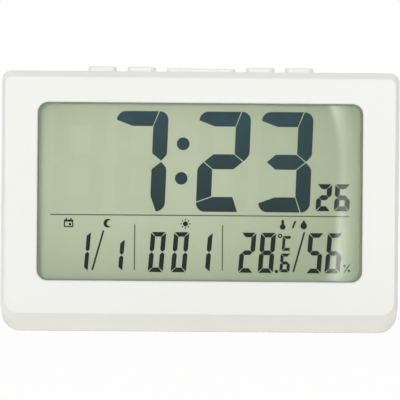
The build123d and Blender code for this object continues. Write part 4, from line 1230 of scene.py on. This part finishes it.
@dataclass
class Electronics:
    """Boards, their parts, the buzzer, the sensor and the flat cable."""

    sleeve_end: float = 0.0004

    def build(self) -> None:
        """Dresses the electronic parts."""
        dress(CircuitLaminate("board_laminate", paint(40, 108, 62), paint(74, 140, 84)),
              "main_board", "key_board", "backlight_board")
        dress(MouldedPlastic("lamp_phosphor", paint(236, 228, 160), paint(240, 236, 200),
                             roughness=0.25), "backlight_leds")
        dress(MouldedPlastic("chip_resin", paint(42, 42, 44), paint(54, 54, 56), roughness=0.6),
              "controller_chip")
        dress(PlatedMetal("crystal_can", paint(206, 208, 212), paint(170, 172, 174)), "crystal")
        low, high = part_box("capacitors")
        dress(TwoPartFinish("capacitor_sleeve", paint(44, 54, 92), paint(60, 70, 110),
                            paint(196, 198, 202), middle_of("capacitors"), (0.0, 1.0, 0.0),
                            (high.y - low.y) / 2 - self.sleeve_end), "capacitors")
        dress(MouldedPlastic("buzzer_plastic", paint(44, 44, 46), paint(56, 56, 58),
                             roughness=0.5), "buzzer")
        dress(MouldedPlastic("sensor_plastic", paint(238, 238, 234), paint(228, 228, 222)),
              "climate_sensor")
        dress(MouldedPlastic("switch_plastic", paint(52, 52, 56), paint(70, 70, 74)),
              "key_switches")
        dress(SoftPolymer("flat_cable", paint(182, 184, 188), paint(166, 168, 172),
                          roughness=0.5), "ribbon_cable")


@dataclass
class PowerSupply:
    """Cells, contacts and leads."""

    cells: tuple[str, ...] = ("cell_upper", "cell_middle", "cell_lower")
    bare_end: float = 0.0016

    def build(self) -> None:
        """Dresses the cells, the contacts and the leads."""
        for cell in self.cells:
            low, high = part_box(cell)
            dress(TwoPartFinish(cell + "_jacket", paint(70, 74, 78), paint(88, 92, 96),
                                paint(214, 212, 206), middle_of(cell), (1.0, 0.0, 0.0),
                                (high.x - low.x) / 2 - self.bare_end), cell)
        dress(PlatedMetal("nickel_plate", paint(212, 209, 202), paint(178, 174, 164), 0.29),
              "contact_negative", "contact_positive", "contact_bridge_left",
              "contact_bridge_right")
        dress(SoftPolymer("red_insulation", paint(186, 34, 30), paint(160, 28, 26), 0.45),
              "lead_red")
        dress(SoftPolymer("black_insulation", paint(44, 44, 46), paint(58, 58, 60), 0.45),
              "lead_black")


@dataclass(frozen=True)
class ScrewStyle:
    """Sizes of a pan-head screw with a cross recess, in millimetres.

    The profile of the head and the recess are shares of the head's radius and height.
    """

    head_r: float
    head_height: float
    shank_r: float
    length: float
    pitch: float = 0.9
    thread_depth: float = 0.22
    sides: int = 24
    steps: int = 5
    dome: tuple[Point, ...] = ((1.0, 0.0), (1.0, 0.45), (0.93, 0.72), (0.75, 0.92), (0.5, 1.0))
    cross_reach: float = 0.58
    cross_half: float = 0.13
    cross_levels: tuple[Point, ...] = ((0.62, 0.35), (1.0, 1.2))

    def build(self) -> BMesh:
        """Makes one screw that points backwards, with its seat at the origin.

        Returns:
            The screw, with its head towards +Y.
        """
        blank = link("screw_blank", mesh_from("screw_blank", self._turned()))
        cutter = link("screw_recess", mesh_from("screw_recess", self._recess()))
        cut = blank.modifiers.new("recess", "BOOLEAN")
        cut.object = cutter
        cut.solver = "EXACT"
        result = bmesh.new()
        result.from_object(blank, bpy.context.evaluated_depsgraph_get())
        for thing in (blank, cutter):
            mesh = thing.data
            bpy.data.objects.remove(thing)
            bpy.data.meshes.remove(mesh)
        return result

    def _turned(self) -> BMesh:
        """Turns the shank with its helical thread and the domed head.

        Returns:
            The screw without its recess.
        """
        count = round(self.length / self.pitch * self.steps)
        levels = [-self.length + self.length * row / count for row in range(count + 1)]
        shank = [[self._point(self._thread_r(y, side), y, side) for side in range(self.sides)]
                 for y in levels]
        head = [[self._point(radius * self.head_r, y * self.head_height, side)
                 for side in range(self.sides)] for radius, y in self.dome]
        return loft(shank + head)

    def _point(self, radius: float, y: float, side: int) -> Vector:
        """Places one point round the axis, in metres."""
        turn = 2 * math.pi * side / self.sides
        return Vector((radius * math.cos(turn), y, radius * math.sin(turn))) * MM

    def _thread_r(self, y: float, side: int) -> float:
        """Finds the thread's radius, less near the tip and full under the head.

        Args:
            y: The place along the shank.
            side: The number of the point round the shank.

        Returns:
            The radius.
        """
        point = min(1.0, (y + self.length) / self.pitch + 0.25)
        ends = min(1.0, -y / self.pitch)
        phase = (y / self.pitch - side / self.sides) % 1.0
        valley = min(1.0, 3.0 * min(phase, 1.0 - phase))
        return point * (self.shank_r - self.thread_depth * valley * ends)

    def _recess(self) -> BMesh:
        """Makes the tapered cross that is cut out of the head.

        Returns:
            The cross.
        """
        levels = []
        for share, height in self.cross_levels:
            reach = self.cross_reach * self.head_r * share
            half = self.cross_half * self.head_r * share
            quarter = ((half, reach), (half, half), (reach, half))
            levels.append([((x * a - z * b) * MM, height * self.head_height * MM,
                            (x * b + z * a) * MM)
                           for a, b in ((1, 0), (0, -1), (-1, 0), (0, 1)) for x, z in quarter])
        return loft(levels)


@dataclass
class Fasteners:
    """The screws, drawn with threads and cross recesses in place of the plain CAD ones."""

    plate: PlatedMetal = PlatedMetal("zinc_plate", paint(186, 188, 192), paint(150, 152, 154),
                                     0.36, (2400.0, 2400.0, 2400.0))
    case: ScrewStyle = ScrewStyle(2.4, 1.8, 1.3, 12.0)
    small: ScrewStyle = ScrewStyle(2.0, 1.4, 1.05, 6.5, 0.7, 0.18)
    turn: float = math.radians(37)

    def build(self) -> None:
        """Makes the four sets of screws."""
        finish = self.plate.build()
        self._set("case_screws", self.case, 2, 2, finish)
        self._set("holder_screws", self.small, 2, 2, finish)
        self._set("board_screws", self.small, 3, 1, finish)
        self._set("key_board_screws", self.small, 2, 1, finish)

    def _set(self, node: str, style: ScrewStyle, columns: int, rows: int,
             finish: Material) -> None:
        """Stands detailed screws in for one CAD node.

        Args:
            node: The node of plain screws.
            style: The screws' sizes.
            columns: Screws side by side.
            rows: Screws one above the other.
            finish: Their finish.
        """
        low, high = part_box(node)
        head = style.head_r * MM
        seat = high.y - style.head_height * MM
        pattern = mesh_from(node + "_pattern", style.build())
        group = bmesh.new()
        for index in range(columns * rows):
            column, row = index % columns, index // columns
            x = low.x + head + (high.x - low.x - 2 * head) * column / max(columns - 1, 1)
            z = low.z + head + (high.z - low.z - 2 * head) * row / max(rows - 1, 1)
            start = len(group.verts)
            group.from_mesh(pattern)
            group.verts.ensure_lookup_table()
            place = Matrix.Translation((x, seat, z)) @ Matrix.Rotation(self.turn * index, 4, "Y")
            bmesh.ops.transform(group, matrix=place, verts=group.verts[start:])
        bpy.data.meshes.remove(pattern)
        piece = link(node + "_detailed", mesh_from(node + "_detailed", group, finish))
        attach(piece, Body.CLOCK.value)
        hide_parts(node)
        log.info("made %s", piece.name)


# -------------------------------------------------------------------------- studio


@dataclass(frozen=True)
class Lamp:
    """A soft lamp, its place and size in metres and its power in watts."""

    name: str
    place: Corner
    power: float
    size: Point
    aim: Corner = (0.0, 0.0, 0.06)

    def hang(self) -> None:
        """Hangs the lamp so that it points at the clock."""
        lamp = bpy.data.lights.new(self.name, "AREA")
        lamp.energy = self.power
        lamp.shape = "RECTANGLE"
        lamp.size, lamp.size_y = self.size
        thing = link(self.name, lamp)
        thing.location = self.place
        thing.rotation_mode = "QUATERNION"
        thing.rotation_quaternion = (Vector(self.aim) - thing.location).to_track_quat("-Z", "Y")


@dataclass(frozen=True)
class WindowGlint:
    """The strip of light that a window leaves down the lens.

    Places and widths are in metres on the lens. The strip reaches farthest out at the
    belly. Above and below are the shares of the way from there to its two ends. It is
    brightest along a crest, rises to it quickly on the inner side, falls off slowly on
    the outer side, and is widest and brightest at the foot.
    """

    low: float = 0.0215
    belly: float = 0.082
    high: float = 0.1185
    crest: float = 0.0718
    upper_bend: float = 0.0072
    lower_bend: float = 0.0031
    rise: float = 0.004
    foot_rise: float = 0.012
    fall: float = 0.0085
    foot_fall: float = 0.001
    level: float = 0.24
    top_gain: float = 0.65
    lower_gain: float = 0.27
    foot_gain: float = 0.45
    end_fade: float = 0.4
    rows: int = 40
    columns: int = 18

    def line(self, z: float) -> list[tuple[float, float]]:
        """Lays out one level line of the strip.

        Args:
            z: The line's height.

        Returns:
            The x and the brightness of each point across it.
        """
        above = max(0.0, (z - self.belly) / (self.high - self.belly))
        below = max(0.0, (self.belly - z) / (self.belly - self.low))
        crest = self.crest - self.upper_bend * above ** 2.2 - self.lower_bend * below
        rise = self.rise + self.foot_rise * max(0.0, below - 0.6)
        fall = self.fall + self.foot_fall * below
        level = self.level + self.top_gain * above ** 3
        level += self.lower_gain * min(1.0, 2.5 * below)
        level += self.foot_gain * max(0.0, (below - 0.4) / 0.48)
        level *= 1 - self.end_fade * min(1.0, max(0.0, (below - 0.82) / 0.08))
        steps = (column / self.columns * (rise + fall) for column in range(self.columns + 1))
        return [(crest - rise + across, level * self._hump(across / rise, (across - rise) / fall))
                for across in steps]

    @staticmethod
    def _hump(inner: float, outer: float) -> float:
        """Gives the brightness across the strip, 1 at the crest and 0 at both edges.

        Args:
            inner: Share of the way up from the inner edge to the crest.
            outer: Share of the way down from the crest to the outer edge.

        Returns:
            The brightness.
        """
        if outer < 0:
            return inner * inner * (3 - 2 * inner)
        return (1 - min(outer, 1.0)) ** 1.5


@dataclass
class Studio:
    """Floor, lamps, reflection cards, surroundings and camera. Lengths are in metres.

    The reach of a card is how far off it hangs, as a share of the camera's distance.
    """

    paper: StudioPaper = StudioPaper("floor_paper", paint(252, 248, 238), 0.96)
    lamps: tuple[Lamp, ...] = (Lamp("key_lamp", (-0.95, -1.5, 0.33), 6.3, (0.6, 0.6)),
                               Lamp("fill_lamp", (0.3, -1.55, 0.12), 6.1, (1.2, 0.2)),
                               Lamp("back_lamp", (0.3, 1.6, 1.5), 11.0, (1.0, 1.0)))
    floor_reach: float = 3.0
    surround: float = 0.52
    flag_level: float = 0.22
    flag_reach: float = 0.46
    glint: WindowGlint = WindowGlint()
    glint_level: float = 4.9
    glint_reach: float = 0.42
    card_tint: Colour = (0.97, 1.0, 0.95, 1.0)
    camera_place: Vector = Vector((0.00005, -0.914, 0.06605))
    camera_roll: float = math.radians(-0.45)
    camera_lens: float = 163.1

    def build(self) -> None:
        """Makes the studio."""
        self._floor()
        self._world()
        for lamp in self.lamps:
            lamp.hang()
        self._flag()
        self._window_glint()
        self._camera()

    def _floor(self) -> None:
        """Lays the paper floor."""
        sheet = bmesh.new()
        bmesh.ops.create_grid(sheet, x_segments=8, y_segments=8, size=self.floor_reach)
        self._stage("studio_floor", sheet, self.paper.build())

    @staticmethod
    def _stage(name: str, shape: BMesh, material: Material) -> Object:
        """Turns a shape into an object in the scene.

        Args:
            name: The object's name.
            shape: Its shape, which is freed.
            material: Its finish.

        Returns:
            The object.
        """
        thing = link(name, mesh_from(name, shape, material))
        return thing

    def _world(self) -> None:
        """Makes the surroundings: white to the camera, softer as light."""
        world = bpy.data.worlds.new("studio_world")
        bpy.context.scene.world = world
        wiring = Wiring(emptied(world))
        soft, white = (wiring.add("Background", {"Color": WHITE, "Strength": strength})
                       for strength in (self.surround, 1.0))
        both = wiring.add("MixShader", {0: wiring.seen(), 1: soft.outputs[0],
                                        2: white.outputs[0]})
        wiring.add("OutputWorld", {"Surface": both.outputs[0]})

    def _card(self, name: str, shape: BMesh, cloth: str) -> None:
        """Hangs a glowing card that shows in reflections and casts no light or shadow.

        Args:
            name: The card's name.
            shape: Its shape. A glow attribute, where it has one, adds to its level.
            cloth: The name of its finish.
        """
        material = bpy.data.materials.new(cloth)
        wiring = Wiring(emptied(material))
        extra = wiring.add("Attribute", attribute_name="glow").outputs["Fac"]
        strength = wiring.math("MULTIPLY_ADD", extra, self.glint_level, self.flag_level)
        glow = wiring.add("Emission", {"Color": self.card_tint, "Strength": strength})
        wiring.add("OutputMaterial", {"Surface": glow.outputs[0]})
        card = self._stage(name, shape, material)
        card.visible_camera = card.visible_diffuse = card.visible_shadow = False

    def _flag(self) -> None:
        """Hangs the grey cloth in front of the clock that keeps the lens dark."""
        low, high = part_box("display_lens")
        shape = bmesh.new()
        shape.faces.new([shape.verts.new(self._mirrored(Vector((x, low.y, z)), self.flag_reach))
                         for x, z in block(low.x, self.glint.low, high.x, high.z)])
        self._card("grey_flag", shape, "flag_cloth")

    def _window_glint(self) -> None:
        """Hangs the bent strip of light whose reflection runs down the lens."""
        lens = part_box("display_lens")[0].y
        glint = self.glint
        card = bmesh.new()
        glow = card.verts.layers.float.new("glow")
        grid = []
        for row in range(glint.rows + 1):
            z = glint.low + (glint.high - glint.low) * row / glint.rows
            line = []
            for x, level in glint.line(z):
                vert = card.verts.new(self._mirrored(Vector((x, lens, z)), self.glint_reach))
                vert[glow] = level
                line.append(vert)
            grid.append(line)
        for low, high in zip(grid, grid[1:]):
            for column in range(glint.columns):
                card.faces.new((low[column], low[column + 1], high[column + 1], high[column]))
        self._card("glint_card", card, "glint_cloth")

    def _mirrored(self, spot: Vector, reach: float) -> Vector:
        """Finds the place in front of the clock that the camera sees in a spot of the lens."""
        onward = (spot - self.camera_place) * reach
        return Vector((spot.x + onward.x, spot.y - onward.y, spot.z + onward.z))

    def _camera(self) -> None:
        """Sets up the camera square to the face."""
        data = bpy.data.cameras.new("camera")
        data.lens = self.camera_lens
        data.sensor_width = 36.0
        data.clip_start = 0.02
        camera = link("camera", data)
        camera.location = self.camera_place
        camera.rotation_euler = (math.pi / 2, self.camera_roll, 0.0)
        bpy.context.scene.camera = camera


def corners(box: tuple[Vector, Vector]) -> list[list[float]]:
    """Returns a box's two corners as plain lists."""
    return [list(corner) for corner in box]


def main() -> None:
    """Builds the clock's looks and the studio."""
    logging.basicConfig(level=logging.INFO, format="%(name)s: %(message)s")
    bpy.context.scene.view_settings.view_transform = "Standard"
    for part in (Casing(), Display(), Electronics(), PowerSupply(), Fasteners(), Studio()):
        part.build()


if __name__ == "__main__":
    main()
